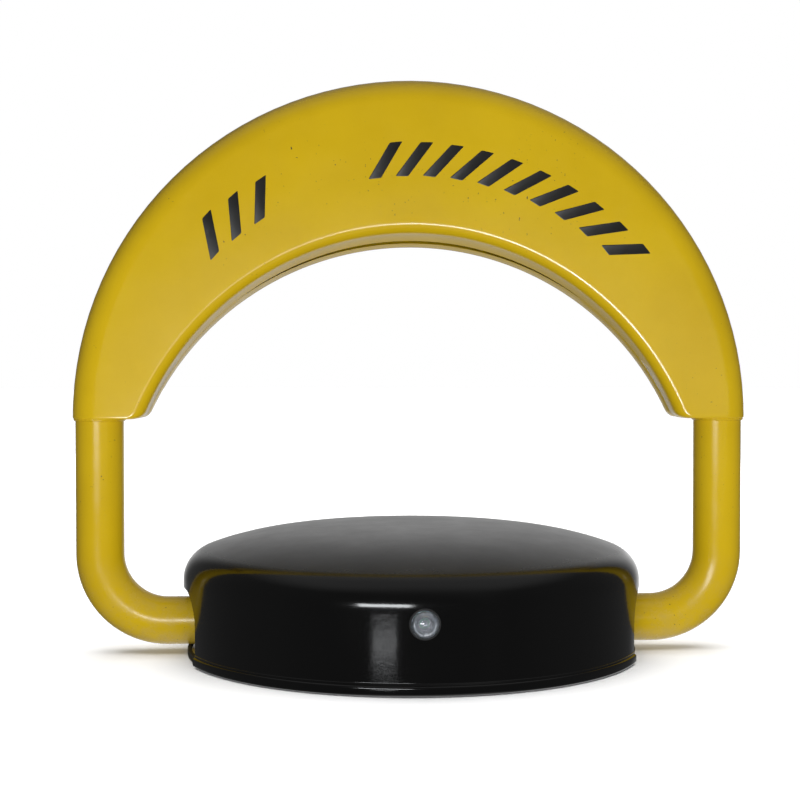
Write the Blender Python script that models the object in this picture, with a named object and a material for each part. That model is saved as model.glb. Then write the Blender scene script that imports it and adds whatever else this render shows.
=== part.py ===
"""Folding parking lock: a motor-driven hoop with an arched sign panel, on a round ground base.

The hoop stands upright and folds forward onto the ground about the X axis. The base holds a worm gearmotor, a
spur gear pair, a torsion spring that lets a struck hoop lean back, a battery and a controller, all under one
pressed steel cover that lifts off once its key lock is open.

Metres, +Z up. The origin is on the ground under the middle of the base. The hoop's axis lies along X, and -Y
is the front, where the indicator lens is.
"""

import math

import bmesh
import bpy
from mathutils import Matrix, Vector

GAP = 0.0003  # clearance between pieces that touch or turn in each other
CLEAR_OF = 0.010  # how far a cutter runs past the piece it cuts

# Hoop: one bent steel tube, its legs carried down into the base
TUBE_R = 0.0212
TUBE_WALL = 0.003
HOOP_HALF = 0.2768  # leg centre line to the middle
BEND_R = 0.060
AXIS_Z = 0.028
TUBE_END = 0.128  # where the tube stops inside the base
LEG_BEND_X = 0.172  # where the straight leg starts to bend
ARCH_Z = 0.208  # centre of the arch, and the panel's lower edge
ARCH_STEPS = 26
BEND_STEPS = 6
TUBE_SIDES = 16

# Arched sign panel: two pressed shells round the hoop
PANEL_R = 0.300
PANEL_HALF = 0.0232
PANEL_WALL = 0.0015
LEG_HOLE_R = TUBE_R + 0.0004
PANEL_NOSE = 0.021  # rounding of the outer edge
PANEL_LIP = 0.011  # rounding of the inner edge
OPENING_R = 0.2565
OPENING_Z = 0.1057
CORNER_R = 0.012
SCREW_SPOTS = ((168, 0.2375), (125, 0.205), (55, 0.205), (12, 0.2375))  # degrees round the arch, and radius

SCREW_R = 0.0016
SCREW_HEAD_R = 0.0044
POST_R = 0.005

# Base plate and cover
PLATE_R = 0.1955
PLATE_T = 0.005
ANCHOR_X = 0.128
ANCHOR_Y = 0.105
ANCHOR_R = 0.0065
BOLT_Y = 0.032  # bearing bolts, either side of the shaft
BOLT_HOLE_R = 0.0043
COVER_R = 0.2025
SHEET = 0.002
COVER_FOOT = 0.0008  # the cover hangs this far above the ground
COVER_TOP = 0.1128
SHOULDER_Z = 0.0672
SHOULDER_R = 0.0280
SHOULDER_SLOPE = math.radians(19.7)
SHOULDER_STEPS = 5
HEM_H = 0.0072
HEM_OUT = 0.0009
NOTCH_HALF = 0.078
NOTCH_TOP = 0.062
NOTCH_R = 0.030
LENS_Z = 0.057
LOCK_Z = 0.045
COVER_HOLE_R = 0.0100
STEM_R = COVER_HOLE_R - GAP  # the lens and the lock barrel in their holes
ROUND = 48  # sides of the plate, the seal and the cover
SIDES = 18  # sides of shafts, bores and other small round pieces

# Drive
SHAFT_R = 0.012
SHAFT_HALF = 0.166
PIN_R = 0.004
PIN_HALF = 0.0204
PIN_X = (TUBE_END + SHAFT_HALF) / 2
BEARING_X = 0.105
BUSH_R = 0.0155
BLOCK_HALF = 0.012
MODULE = 0.0015
GEAR_TEETH = 26
PINION_TEETH = 14
GEAR_X = (0.030, 0.044)
PINION_Y = -MODULE * (GEAR_TEETH + PINION_TEETH) / 2
OUTPUT_R = 0.005
SPRING_MEAN_R = 0.015
SPRING_WIRE_R = 0.0018
SPRING_TURNS = 5
SPRING_X = (0.0490, 0.0780)
STRIKER_X = (0.0815, 0.0895)
MAGNET_X = (-0.060, -0.048)
MOTOR_X = -0.003
MOTOR_Z = 0.048
MOTOR_R = 0.018
MOTOR_Y = (-0.1250, -0.0605)  # rear of the can, and the gearbox face it is bolted to
MOTOR_CAP_Y = -0.1365

FLOOR = PLATE_T + GAP  # where pieces stand on the plate

# Battery and controller
BATTERY_LOW = (-0.0755, 0.0480, FLOOR)
BATTERY_HIGH = (0.0755, 0.1420, FLOOR + 0.065)
TERMINAL_X = 0.060
TERMINAL_DEPTH = 0.0065
CONTROL_LOW = (0.045, -0.135, FLOOR)
CONTROL_HIGH = (0.105, -0.050, 0.036)
LEAD_REST = 2 * GAP  # how far a lead's end stops short of what it joins


# ---------------------------------------------------------------- scene and objects


def clear_scene():
    for item in list(bpy.data.objects):
        bpy.data.objects.remove(item, do_unlink=True)


def finish(name, colour, roughness, metallic=0.0, alpha=1.0):
    """A Principled material for one object."""
    made = bpy.data.materials.new(name + "_finish")
    made.use_nodes = True
    shader = made.node_tree.nodes["Principled BSDF"]
    shader.inputs["Base Color"].default_value = (*colour, 1.0)
    shader.inputs["Roughness"].default_value = roughness
    shader.inputs["Metallic"].default_value = metallic
    shader.inputs["Alpha"].default_value = alpha
    return made


YELLOW = ((0.63, 0.42, 0.02), 0.28)
BLACK_PAINT = ((0.012, 0.012, 0.013), 0.2)
ZINC = ((0.62, 0.63, 0.62), 0.38, 1.0)
CHROME = ((0.75, 0.76, 0.77), 0.12, 1.0)
STEEL = ((0.50, 0.50, 0.50), 0.32, 1.0)
DARK_STEEL = ((0.16, 0.16, 0.17), 0.42, 1.0)
BRONZE = ((0.55, 0.33, 0.14), 0.4, 1.0)
ALUMINIUM = ((0.68, 0.69, 0.70), 0.45, 1.0)
BLACK_PLASTIC = ((0.02, 0.02, 0.021), 0.5)
GREY_PLASTIC = ((0.30, 0.31, 0.32), 0.5)
RUBBER = ((0.02, 0.02, 0.02), 0.8)
BRASS = ((0.72, 0.52, 0.22), 0.3, 1.0)
BOARD_GREEN = ((0.02, 0.14, 0.06), 0.45)
CLEAR = ((0.80, 0.86, 0.95), 0.06, 0.0, 0.4)
RED_LEAD = ((0.45, 0.02, 0.02), 0.5)


def add(name, bm, look, pivot=None):
    """Makes a named object from a bmesh in world coordinates, with its origin on the pivot it moves about."""
    bmesh.ops.remove_doubles(bm, verts=bm.verts, dist=1e-7)
    bmesh.ops.recalc_face_normals(bm, faces=bm.faces)
    if pivot:
        bmesh.ops.translate(bm, verts=bm.verts, vec=-place_of(pivot))
    mesh = bpy.data.meshes.new(name)
    bm.to_mesh(mesh)
    bm.free()
    item = bpy.data.objects.new(name, mesh)
    bpy.context.collection.objects.link(item)
    if look:
        mesh.materials.append(finish(name, *look))
        mesh.shade_smooth()
        mesh.set_sharp_from_angle(angle=math.radians(35))
    if pivot:
        item.parent = pivot
    return item


def pivot(name, location, parent=None):
    """An empty on a joint's axis, which the moving pieces hang from."""
    empty = bpy.data.objects.new(name, None)
    bpy.context.collection.objects.link(empty)
    empty.location = location
    empty.empty_display_size = 0.05
    if parent:
        empty.parent = parent
        empty.location = Vector(location) - place_of(parent)
    return empty


def place_of(empty):
    """An empty's place in the world: the sum of the locations down its chain of parents."""
    above = place_of(empty.parent) if empty.parent else Vector((0, 0, 0))
    return above + empty.location


def combine(item, name, bm, operation="DIFFERENCE", solver="EXACT"):
    """Cuts a bmesh from an object, or joins it on, with a Boolean and a hidden helper."""
    helper = add(name, bm, None)
    helper.hide_render = True
    helper.display_type = "WIRE"
    change = item.modifiers.new(name, "BOOLEAN")
    change.operation = operation
    change.object = helper
    change.solver = solver
    return item


# ---------------------------------------------------------------- shapes


def merge(*parts):
    """One bmesh that holds several separate shapes."""
    whole = bmesh.new()
    for part in parts:
        mesh = bpy.data.meshes.new("part")
        part.to_mesh(mesh)
        part.free()
        whole.from_mesh(mesh)
        bpy.data.meshes.remove(mesh)
    return whole


def box(low, high, bevel=0.0):
    bm = bmesh.new()
    bmesh.ops.create_cube(bm, size=1.0)
    low, high = Vector(low), Vector(high)
    bmesh.ops.scale(bm, vec=high - low, verts=bm.verts)
    bmesh.ops.translate(bm, vec=(high + low) / 2, verts=bm.verts)
    if bevel:
        bmesh.ops.bevel(bm, geom=bm.edges[:], offset=bevel, segments=2, profile=0.5, affect="EDGES")
    return bm


def skin(rings, closed_path=False):
    """Joins rings of points, each a closed loop of the same length, into one surface.

    A closed path joins the last ring to the first, and any other path is capped at both ends."""
    bm = bmesh.new()
    rows = [[bm.verts.new(point) for point in ring] for ring in rings]
    count = len(rows[0])
    pairs = list(zip(rows, rows[1:]))
    if closed_path:
        pairs.append((rows[-1], rows[0]))
    for first, second in pairs:
        for i in range(count):
            j = (i + 1) % count
            bm.faces.new((first[i], first[j], second[j], second[i]))
    if not closed_path:
        bm.faces.new(rows[0])
        bm.faces.new(rows[-1])
    return bm


TURNS = {
    "X": Matrix.Rotation(math.pi / 2, 3, "Y"),
    "Y": Matrix.Rotation(-math.pi / 2, 3, "X"),
    "Z": Matrix.Identity(3),
}


def turned(profile, at=(0, 0, 0), along="Z", sides=SIDES, hexagon=()):
    """Turns (radius, height) points about an axis. A profile that starts and ends on the axis makes a solid,
    and any other makes a ring. The points whose numbers are in hexagon lie on a hexagon."""
    bm = bmesh.new()
    turn = TURNS[along]
    rows = []
    for number, (radius, height) in enumerate(profile):
        if radius == 0:
            rows.append([bm.verts.new(turn @ Vector((0, 0, height)) + Vector(at))])
            continue
        row = []
        for i in range(sides):
            angle = 2 * math.pi * i / sides
            reach = radius
            if number in hexagon:
                from_flat = (angle + math.pi / 6) % (math.pi / 3) - math.pi / 6
                reach *= math.cos(math.pi / 6) / math.cos(from_flat)
            point = Vector((reach * math.cos(angle), reach * math.sin(angle), height))
            row.append(bm.verts.new(turn @ point + Vector(at)))
        rows.append(row)
    pairs = list(zip(rows, rows[1:]))
    if profile[0][0] and profile[-1][0]:
        pairs.append((rows[-1], rows[0]))
    for first, second in pairs:
        for i in range(sides):
            j = (i + 1) % sides
            if len(first) == 1:
                bm.faces.new((first[0], second[i], second[j]))
            elif len(second) == 1:
                bm.faces.new((first[i], first[j], second[0]))
            else:
                bm.faces.new((first[i], first[j], second[j], second[i]))
    return bm


def rod(radius, start, end, at=(0, 0, 0), along="Z", sides=SIDES, chamfer=0.0):
    if not chamfer:
        profile = [(0, start), (radius, start), (radius, end), (0, end)]
    else:
        profile = [(0, start), (radius - chamfer, start), (radius, start + chamfer)]
        profile += [(radius, end - chamfer), (radius - chamfer, end), (0, end)]
    return turned(profile, at, along, sides)


def round_hole(radius, sides=SIDES):
    """The corner radius of a hole with flat sides that still clears a round piece of this radius."""
    return radius / math.cos(math.pi / sides)


def ring(inner, outer, start, end, at=(0, 0, 0), along="Z", sides=SIDES, chamfer=0.0):
    """A ring whose hole clears a round piece of the inner radius, even at the flats between its corners."""
    inner = round_hole(inner, sides)
    profile = [(inner, start), (outer - chamfer, start)]
    if chamfer:
        profile += [(outer, start + chamfer), (outer, end - chamfer)]
    profile += [(outer - chamfer, end), (inner, end)]
    return turned(profile, at, along, sides)


def extruded(outline, along, start, end):
    """Extrudes a closed outline of (u, v) points along X, with u on Y and v on Z, or along Y, with u on X."""
    if along == "X":
        return skin([[(level, u, v) for u, v in outline] for level in (start, end)])
    return skin([[(u, level, v) for u, v in outline] for level in (start, end)])


def arc(centre, radius, start, end, steps):
    """Points of an arc, in degrees."""
    points = []
    for i in range(steps + 1):
        angle = math.radians(start + (end - start) * i / steps)
        points.append((centre[0] + radius * math.cos(angle), centre[1] + radius * math.sin(angle)))
    return points


# ---------------------------------------------------------------- hoop tube


def hoop_path():
    """(centre, outward normal) in the XZ plane along the tube's centre line, left end to right end."""
    corner = HOOP_HALF - BEND_R
    left = [((-TUBE_END, AXIS_Z), (0, -1)), ((-LEG_BEND_X, AXIS_Z), (0, -1))]
    for i in range(BEND_STEPS + 1):
        angle = math.radians(270 - 90 * i / BEND_STEPS)
        out = (math.cos(angle), math.sin(angle))
        left.append(((-corner + BEND_R * out[0], AXIS_Z + BEND_R + BEND_R * out[1]), out))
    arch = []
    for i in range(ARCH_STEPS + 1):
        angle = math.pi - math.pi * i / ARCH_STEPS
        out = (math.cos(angle), math.sin(angle))
        arch.append(((HOOP_HALF * out[0], ARCH_Z + HOOP_HALF * out[1]), out))
    right = [((-x, z), (-u, w)) for (x, z), (u, w) in reversed(left)]
    return left + arch + right


def tube_section(centre, out, radius):
    points = []
    for i in range(TUBE_SIDES):
        angle = 2 * math.pi * i / TUBE_SIDES
        reach = radius * math.cos(angle)
        points.append((centre[0] + out[0] * reach, radius * math.sin(angle), centre[1] + out[1] * reach))
    return points


def on_axis(x=0.0):
    return (x, 0, AXIS_Z)


def pin_hole(side):
    half = TUBE_R + CLEAR_OF
    return rod(PIN_R + GAP, -half, half, on_axis(side * PIN_X), "Y", 12)


def make_hoop(hoop):
    path = hoop_path()
    outside = [tube_section(centre, out, TUBE_R) for centre, out in path]
    inside = [tube_section(centre, out, TUBE_R - TUBE_WALL) for centre, out in path]
    tube = add("hoop_tube", skin(outside + inside[::-1], closed_path=True), YELLOW, hoop)
    combine(tube, "tube_pin_holes", merge(pin_hole(-1), pin_hole(1)))

    bore = SHAFT_R + GAP
    plug_r = TUBE_R - TUBE_WALL - 2.5 * GAP
    for side, label in ((-1, "left"), (1, "right")):
        ends = sorted((side * (TUBE_END + 0.0005), side * SHAFT_HALF))
        plug = add(f"tube_plug_{label}", ring(bore, plug_r, *ends, on_axis(), "X"), ZINC, hoop)
        combine(plug, f"plug_{label}_pin_hole", pin_hole(side))
        pin = rod(PIN_R, -PIN_HALF, PIN_HALF, on_axis(side * PIN_X), "Y", 12)
        add(f"cross_pin_{label}", pin, STEEL, hoop)

    bar = rod(SHAFT_R, -SHAFT_HALF, SHAFT_HALF, on_axis(), "X", chamfer=0.001)
    shaft = add("main_shaft", bar, STEEL, hoop)
    combine(shaft, "shaft_pin_holes", merge(pin_hole(-1), pin_hole(1)))
    collar = ring(bore, 0.0200, *STRIKER_X, on_axis(), "X", chamfer=0.001)
    striker = add("striker_collar", collar, DARK_STEEL, hoop)
    combine(striker, "striker_tang_hole", tang_hole(STRIKER_X[0] - 0.0015, STRIKER_X[1] + 0.0025))
    magnet = ring(bore, 0.0190, *MAGNET_X, on_axis(), "X", chamfer=0.001)
    add("magnet_collar", magnet, BLACK_PLASTIC, hoop)


def tang_hole(start, end):
    """The hole for one end of the buffer spring, at the top of its coil."""
    return rod(SPRING_WIRE_R + GAP, start, end, (0, 0, AXIS_Z + SPRING_MEAN_R), "X", 10)


# ---------------------------------------------------------------- arched panel


def opening_reach(angle, thinner=0.0):
    """Distance from the arch's centre to the panel's inner edge, at an angle from the X axis.

    The edge is an arc about a lower centre, and a small corner arc joins it to the panel's lower edge."""
    angle = min(angle, math.pi - angle)
    rise = ARCH_Z - OPENING_Z
    radius = OPENING_R + thinner
    reach = -rise * math.sin(angle) + math.sqrt(radius**2 - (rise * math.cos(angle)) ** 2)
    corner_x = math.sqrt((OPENING_R + CORNER_R) ** 2 - (rise + CORNER_R) ** 2)
    tangent = radius / (OPENING_R + CORNER_R)
    if angle < math.atan2((rise + CORNER_R) * tangent - rise, corner_x * tangent):
        toward = corner_x * math.cos(angle) + CORNER_R * math.sin(angle)
        inside = toward**2 - corner_x**2 - CORNER_R**2 + (CORNER_R - thinner) ** 2
        reach = toward - math.sqrt(max(inside, 0.0))
    return reach


def arch_angles(first=0.0):
    """Stations along the arch, closer together round the lower corners."""
    step = math.pi / ARCH_STEPS
    near = [first, first + 0.008, first + 0.018, first + 0.031]
    middle = [step * i for i in range(1, ARCH_STEPS)]
    return near + middle + [math.pi - angle for angle in reversed(near)]


def panel_section(angle, thinner, back):
    """One section of the panel, from its back edge round the outer rounding, the face and the inner one."""
    outer = PANEL_R - thinner
    inner = opening_reach(angle, thinner)
    half = PANEL_HALF - thinner
    nose = PANEL_NOSE - thinner
    lip = PANEL_LIP - thinner
    edge = [(outer, back)]
    for reach, depth in arc((outer - nose, half - nose), nose, 0, 90, 3):
        edge.append((reach, -depth))
    for reach, depth in arc((inner + lip, half - lip), lip, 90, 180, 3):
        edge.append((reach, -depth))
    edge.append((inner, back))
    return [(reach * math.cos(angle), depth, ARCH_Z + reach * math.sin(angle)) for reach, depth in edge]


def panel_solid(thinner, back, first=0.0):
    return skin([panel_section(angle, thinner, back) for angle in arch_angles(first)])


def on_arch(degrees, reach):
    angle = math.radians(degrees)
    return (reach * math.cos(angle), 0, ARCH_Z + reach * math.sin(angle))


def facing(bm, rear):
    """The shape as modelled for the front shell, or with front and back changed over for the rear one."""
    if rear:
        bmesh.ops.scale(bm, vec=(1, -1, 1), verts=bm.verts)
    return bm


def make_shell(name, rear, bore_r, bore_start, hoop):
    """Half of the panel: a pressed tray with screw posts inside and holes in its end walls for the legs."""
    back = -GAP / 2
    shell = add(name, facing(panel_solid(0.0, back), rear), YELLOW, hoop)
    hollow = panel_solid(PANEL_WALL, back + CLEAR_OF, PANEL_WALL / PANEL_R)
    combine(shell, f"{name}_hollow", facing(hollow, rear), solver="MANIFOLD")
    inside = PANEL_HALF - PANEL_WALL + 0.0005
    posts = [rod(POST_R, -inside, back, on_arch(*spot), "Y", 10) for spot in SCREW_SPOTS]
    combine(shell, f"{name}_posts", facing(merge(*posts), rear), "UNION", "MANIFOLD")
    bores = [rod(bore_r, bore_start, CLEAR_OF, on_arch(*spot), "Y", 8) for spot in SCREW_SPOTS]
    combine(shell, f"{name}_bores", facing(merge(*bores), rear), solver="MANIFOLD")
    low, high = ARCH_Z - CLEAR_OF, ARCH_Z + CLEAR_OF
    legs = [rod(LEG_HOLE_R, low, high, (side * HOOP_HALF, 0, 0), "Z", 20) for side in (-1, 1)]
    combine(shell, f"{name}_leg_holes", merge(*legs), solver="MANIFOLD")


def make_panel(hoop):
    make_shell("arch_front_shell", False, SCREW_R + GAP, 0.0025 - PANEL_HALF, hoop)
    make_shell("arch_rear_shell", True, SCREW_R + 0.0008, -PANEL_HALF - CLEAR_OF, hoop)
    face = PANEL_HALF + GAP
    profile = [(0, -0.010), (SCREW_R, -0.010), (SCREW_R, face), (SCREW_HEAD_R, face)]
    profile += [(0.0040, face + 0.0014), (0.0026, face + 0.0023), (0, face + 0.0026)]
    for number, spot in enumerate(SCREW_SPOTS, 1):
        add(f"rear_screw_{number}", turned(profile, on_arch(*spot), "Y", 12), ZINC, hoop)


# ---------------------------------------------------------------- base plate, bearings


def make_plate():
    plate = add("base_plate", rod(PLATE_R, 0, PLATE_T, sides=ROUND), ZINC)
    low, high = -CLEAR_OF, PLATE_T + CLEAR_OF
    anchors = [rod(ANCHOR_R, low, high, (*spot, 0), sides=16) for spot in four_spots(ANCHOR_X, ANCHOR_Y)]
    bolts = [rod(BOLT_HOLE_R, low, high, (*spot, 0), sides=12) for spot in four_spots(BEARING_X, BOLT_Y)]
    combine(plate, "plate_holes", merge(*anchors, *bolts))
    seal = ring(PLATE_R + GAP, PLATE_R + 0.0036, 0.0006, 0.0066, sides=ROUND)
    add("cover_seal", seal, RUBBER)


def four_spots(x, y):
    return [(-x, -y), (-x, y), (x, -y), (x, y)]


def make_bearings():
    foot_half, foot_top = 0.042, 0.013
    shoulder = 0.0215
    outline = [(-foot_half, FLOOR), (foot_half, FLOOR), (foot_half, foot_top), (shoulder, foot_top)]
    outline += arc((0, AXIS_Z), shoulder, 0, 180, 10)
    outline += [(-shoulder, foot_top), (-foot_half, foot_top)]
    flange_r, hole = 0.0190, round_hole(SHAFT_R + GAP)
    for side, label in ((-1, "left"), (1, "right")):
        middle = side * BEARING_X
        low, high = middle - BLOCK_HALF, middle + BLOCK_HALF
        block = add(f"bearing_block_{label}", extruded(outline, "X", low, high), ALUMINIUM)
        bore = rod(round_hole(BUSH_R + GAP), low - CLEAR_OF, high + CLEAR_OF, on_axis(), "X")
        combine(block, f"block_{label}_bore", bore)
        over = foot_top + CLEAR_OF
        holes = [rod(BOLT_HOLE_R, 0, over, (middle, y, 0), sides=12) for y in (-BOLT_Y, BOLT_Y)]
        combine(block, f"block_{label}_bolt_holes", merge(*holes))
        inner = middle - side * BLOCK_HALF
        flange = middle + side * (BLOCK_HALF + GAP)
        outer = flange + side * 0.002
        profile = [(hole, inner), (BUSH_R, inner), (BUSH_R, flange)]
        profile += [(flange_r, flange), (flange_r, outer), (hole, outer)]
        add(f"bearing_bush_{label}", turned(profile, on_axis(), "X"), BRONZE)
    shank_r, head_r = BOLT_HOLE_R - 0.0004, 0.0075
    head, top = foot_top + GAP, foot_top + 0.0056
    profile = [(0, 0.0006), (shank_r, 0.0006), (shank_r, head), (head_r, head), (head_r, top), (0, top)]
    for number, spot in enumerate(four_spots(BEARING_X, BOLT_Y), 1):
        add(f"bearing_bolt_{number}", turned(profile, (*spot, 0), sides=12, hexagon=(3, 4)), ZINC)


# ---------------------------------------------------------------- gears, spring, gearmotor


def gear(teeth, bore, start, end, centre, phase):
    """A spur gear along X. The phase, in tooth pitches, turns it so that the pair meshes at rest."""
    pitch_r = MODULE * teeth / 2
    root, tip = pitch_r - 1.22 * MODULE, pitch_r + 0.97 * MODULE
    outline = []
    for i in range(teeth):
        middle = 2 * math.pi * (i + phase) / teeth
        flank = [(root, 1.05 * MODULE), (pitch_r, 0.68 * MODULE), (tip, 0.30 * MODULE)]
        left = [(r, middle - half / r) for r, half in flank]
        right = [(r, middle + half / r) for r, half in reversed(flank)]
        outline += [(centre[0] + r * math.cos(a), centre[1] + r * math.sin(a)) for r, a in left + right]
    blank = extruded(outline, "X", start, end)
    hole = rod(round_hole(bore), start - CLEAR_OF, end + CLEAR_OF, (0, *centre), "X")
    return blank, hole


def make_gears(drive, output):
    # A tooth of the gear points at the pinion, and a gap of the pinion faces it
    blank, hole = gear(GEAR_TEETH, SHAFT_R + GAP, *GEAR_X, (0, AXIS_Z), 0.0)
    wheel = add("drive_gear", blank, STEEL, drive)
    combine(wheel, "drive_gear_bore", hole)
    combine(wheel, "drive_gear_tang_hole", tang_hole(GEAR_X[0] + 0.006, GEAR_X[1] + CLEAR_OF))
    blank, hole = gear(PINION_TEETH, OUTPUT_R + GAP, *GEAR_X, (PINION_Y, AXIS_Z), 0.5)
    combine(add("pinion", blank, DARK_STEEL, output), "pinion_bore", hole)
    shaft = rod(OUTPUT_R, -0.006, 0.0475, (0, PINION_Y, AXIS_Z), "X", 20, 0.0006)
    add("output_shaft", shaft, STEEL, output)


def spring_points():
    """The coil's centre line, with a straight tang at each end that enters the gear and the striker."""
    start, end = SPRING_X
    per_turn = 10
    steps = per_turn * SPRING_TURNS
    points = [(GEAR_X[1] - 0.005, 0, SPRING_MEAN_R), (GEAR_X[1] + 0.002, 0, SPRING_MEAN_R)]
    for i in range(steps + 1):
        angle = 2 * math.pi * i / per_turn
        x = start + (end - start) * i / steps
        points.append((x, -SPRING_MEAN_R * math.sin(angle), SPRING_MEAN_R * math.cos(angle)))
    points += [(STRIKER_X[0] - 0.001, 0, SPRING_MEAN_R), (STRIKER_X[0] + 0.005, 0, SPRING_MEAN_R)]
    return points


def wire(name, points, radius, look, resolution=2, pivot_at=None):
    """A round wire or lead along a list of points, as a bevelled curve with closed ends."""
    curve = bpy.data.curves.new(name, "CURVE")
    curve.dimensions = "3D"
    curve.bevel_depth = radius
    curve.bevel_resolution = resolution
    curve.use_fill_caps = True
    spline = curve.splines.new("POLY")
    spline.points.add(len(points) - 1)
    for spot, point in zip(spline.points, points):
        spot.co = (*point, 1.0)
    curve.materials.append(finish(name, *look))
    item = bpy.data.objects.new(name, curve)
    bpy.context.collection.objects.link(item)
    if pivot_at:
        item.parent = pivot_at
    return item


def smooth_route(points, per_leg=3):
    """A Catmull-Rom curve through the route's own points."""
    ends = [2 * Vector(points[0]) - Vector(points[1])]
    route = ends + [Vector(point) for point in points] + [2 * Vector(points[-1]) - Vector(points[-2])]
    made = []
    for a, b, c, d in zip(route, route[1:], route[2:], route[3:]):
        for i in range(per_leg):
            t = i / per_leg
            curved = (2 * a - 5 * b + 4 * c - d) * t**2 + (3 * b - a - 3 * c + d) * t**3
            made.append(0.5 * (2 * b + (c - a) * t + curved))
    made.append(route[-2])
    return made


def make_gearmotor():
    back, front = MOTOR_Y
    rear = -0.0145
    case = add("gearbox_housing", box((-0.028, front, FLOOR), (0.022, rear, 0.0660), 0.003), ALUMINIUM)
    boss = rod(0.0095, 0.015, 0.0275, (0, PINION_Y, AXIS_Z), "X", 20)
    combine(case, "gearbox_boss", boss, "UNION")
    bore = rod(round_hole(OUTPUT_R + GAP, 20), -0.010, 0.0275 + CLEAR_OF, (0, PINION_Y, AXIS_Z), "X", 20)
    combine(case, "gearbox_bore", bore)
    lid = box((-0.0318, front + 0.002, FLOOR + 0.002), (-0.0283, rear - 0.002, 0.0640), 0.0012)
    add("gearbox_lid", lid, ALUMINIUM)
    at = (MOTOR_X, 0, MOTOR_Z)
    add("motor_can", rod(MOTOR_R, back, front - GAP, at, "Y", chamfer=0.0012), DARK_STEEL)
    boss_r, cap_r, step = 0.006, 0.0172, MOTOR_CAP_Y + 0.004
    cap = [(0, MOTOR_CAP_Y), (boss_r, MOTOR_CAP_Y), (boss_r, step), (0.0155, step), (cap_r, step + 0.0015)]
    cap += [(cap_r, back - GAP), (0, back - GAP)]
    add("motor_end_cap", turned(cap, at, "Y"), BLACK_PLASTIC)
    wide, narrow, low = 0.024, 0.014, 0.0085
    cradle = [(-wide, FLOOR), (wide, FLOOR), (wide, low), (narrow, low)]
    rest = arc((0, MOTOR_Z), MOTOR_R + GAP, -45, -135, 8)
    cradle += [(narrow, rest[0][1])] + rest + [(-narrow, rest[0][1]), (-narrow, low), (-wide, low)]
    saddle = extruded([(MOTOR_X + u, v) for u, v in cradle], "Y", -0.112, -0.098)
    add("motor_saddle", saddle, BLACK_PLASTIC)


# ---------------------------------------------------------------- battery, controller, sensors


def make_battery():
    add("battery_case", box(BATTERY_LOW, BATTERY_HIGH, 0.002), BLACK_PLASTIC)
    for side, label in ((-1, "minus"), (1, "plus")):
        face = BATTERY_LOW[1] - GAP
        low = (side * TERMINAL_X - 0.0033, face - TERMINAL_DEPTH, 0.0515)
        high = (side * TERMINAL_X + 0.0033, face, 0.0585)
        add(f"battery_terminal_{label}", box(low, high, 0.0006), BRASS)
    near, far, top = BATTERY_LOW[1] - GAP, BATTERY_HIGH[1] + GAP, BATTERY_HIGH[2] + GAP
    thick, foot = 0.002, 0.017
    outline = [(near - foot, FLOOR), (near, FLOOR), (near, top), (far, top), (far, FLOOR)]
    outline += [(far + foot, FLOOR), (far + foot, FLOOR + thick), (far + thick, FLOOR + thick)]
    outline += [(far + thick, top + thick)]
    outline += [(near - thick, top + thick), (near - thick, FLOOR + thick), (near - foot, FLOOR + thick)]
    add("battery_strap", extruded(outline, "X", -0.0125, 0.0125), ZINC)
    head = FLOOR + thick + GAP
    profile = [(0, head), (0.0055, head), (0.0055, head + 0.004), (0, head + 0.004)]
    for number, y in enumerate((near - 0.0095, far + 0.0095), 1):
        add(f"strap_bolt_{number}", turned(profile, (0, y, 0), sides=12, hexagon=(1, 2)), ZINC)


def make_controller():
    low, high = Vector(CONTROL_LOW), Vector(CONTROL_HIGH)
    case = add("control_box", box(low, high, 0.002), GREY_PLASTIC)
    wall, ledge, ledge_z, over = 0.002, 0.004, 0.0145, high.z + CLEAR_OF
    hollow = box((low.x + wall, low.y + wall, ledge_z), (high.x - wall, high.y - wall, over))
    combine(case, "control_hollow", hollow)
    well = box((low.x + ledge, low.y + ledge, low.z + wall), (high.x - ledge, high.y - ledge, over))
    combine(case, "control_well", well)
    rim, board_z = wall + GAP, ledge_z + GAP
    board = box((low.x + rim, low.y + rim, board_z), (high.x - rim, high.y - rim, board_z + 0.0016))
    add("circuit_board", board, BOARD_GREEN)
    lip = 0.001
    lid = box((low.x - lip, low.y - lip, high.z + GAP), (high.x + lip, high.y + lip, high.z + 0.004), lip)
    add("control_box_lid", lid, GREY_PLASTIC)
    horn_r, horn_z = 0.0170, 0.0265
    horn = [(0, FLOOR), (horn_r, FLOOR), (horn_r, horn_z - 0.0025), (horn_r - 0.002, horn_z)]
    horn += [(0.0045, horn_z), (0.0035, horn_z - 0.003), (0, horn_z - 0.003)]
    add("alarm_buzzer", turned(horn, (-0.075, -0.100, 0)), BLACK_PLASTIC)


def make_sensors():
    near, far, thick, top = 0.0240, 0.0400, 0.0020, 0.0500
    outline = [(near, FLOOR), (far, FLOOR), (far, FLOOR + thick), (near + thick, FLOOR + thick)]
    outline += [(near + thick, top), (near, top)]
    add("sensor_bracket", extruded(outline, "X", MAGNET_X[0] - 0.004, MAGNET_X[1] + 0.004), ZINC)
    for label, z in (("up", AXIS_Z + 0.012), ("down", AXIS_Z - 0.012)):
        low = (MAGNET_X[0] + 0.001, near - 0.0035, z - 0.0050)
        high = (MAGNET_X[1] - 0.001, near - GAP, z + 0.0050)
        add(f"position_sensor_{label}", box(low, high, 0.0005), BLACK_PLASTIC)


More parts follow.
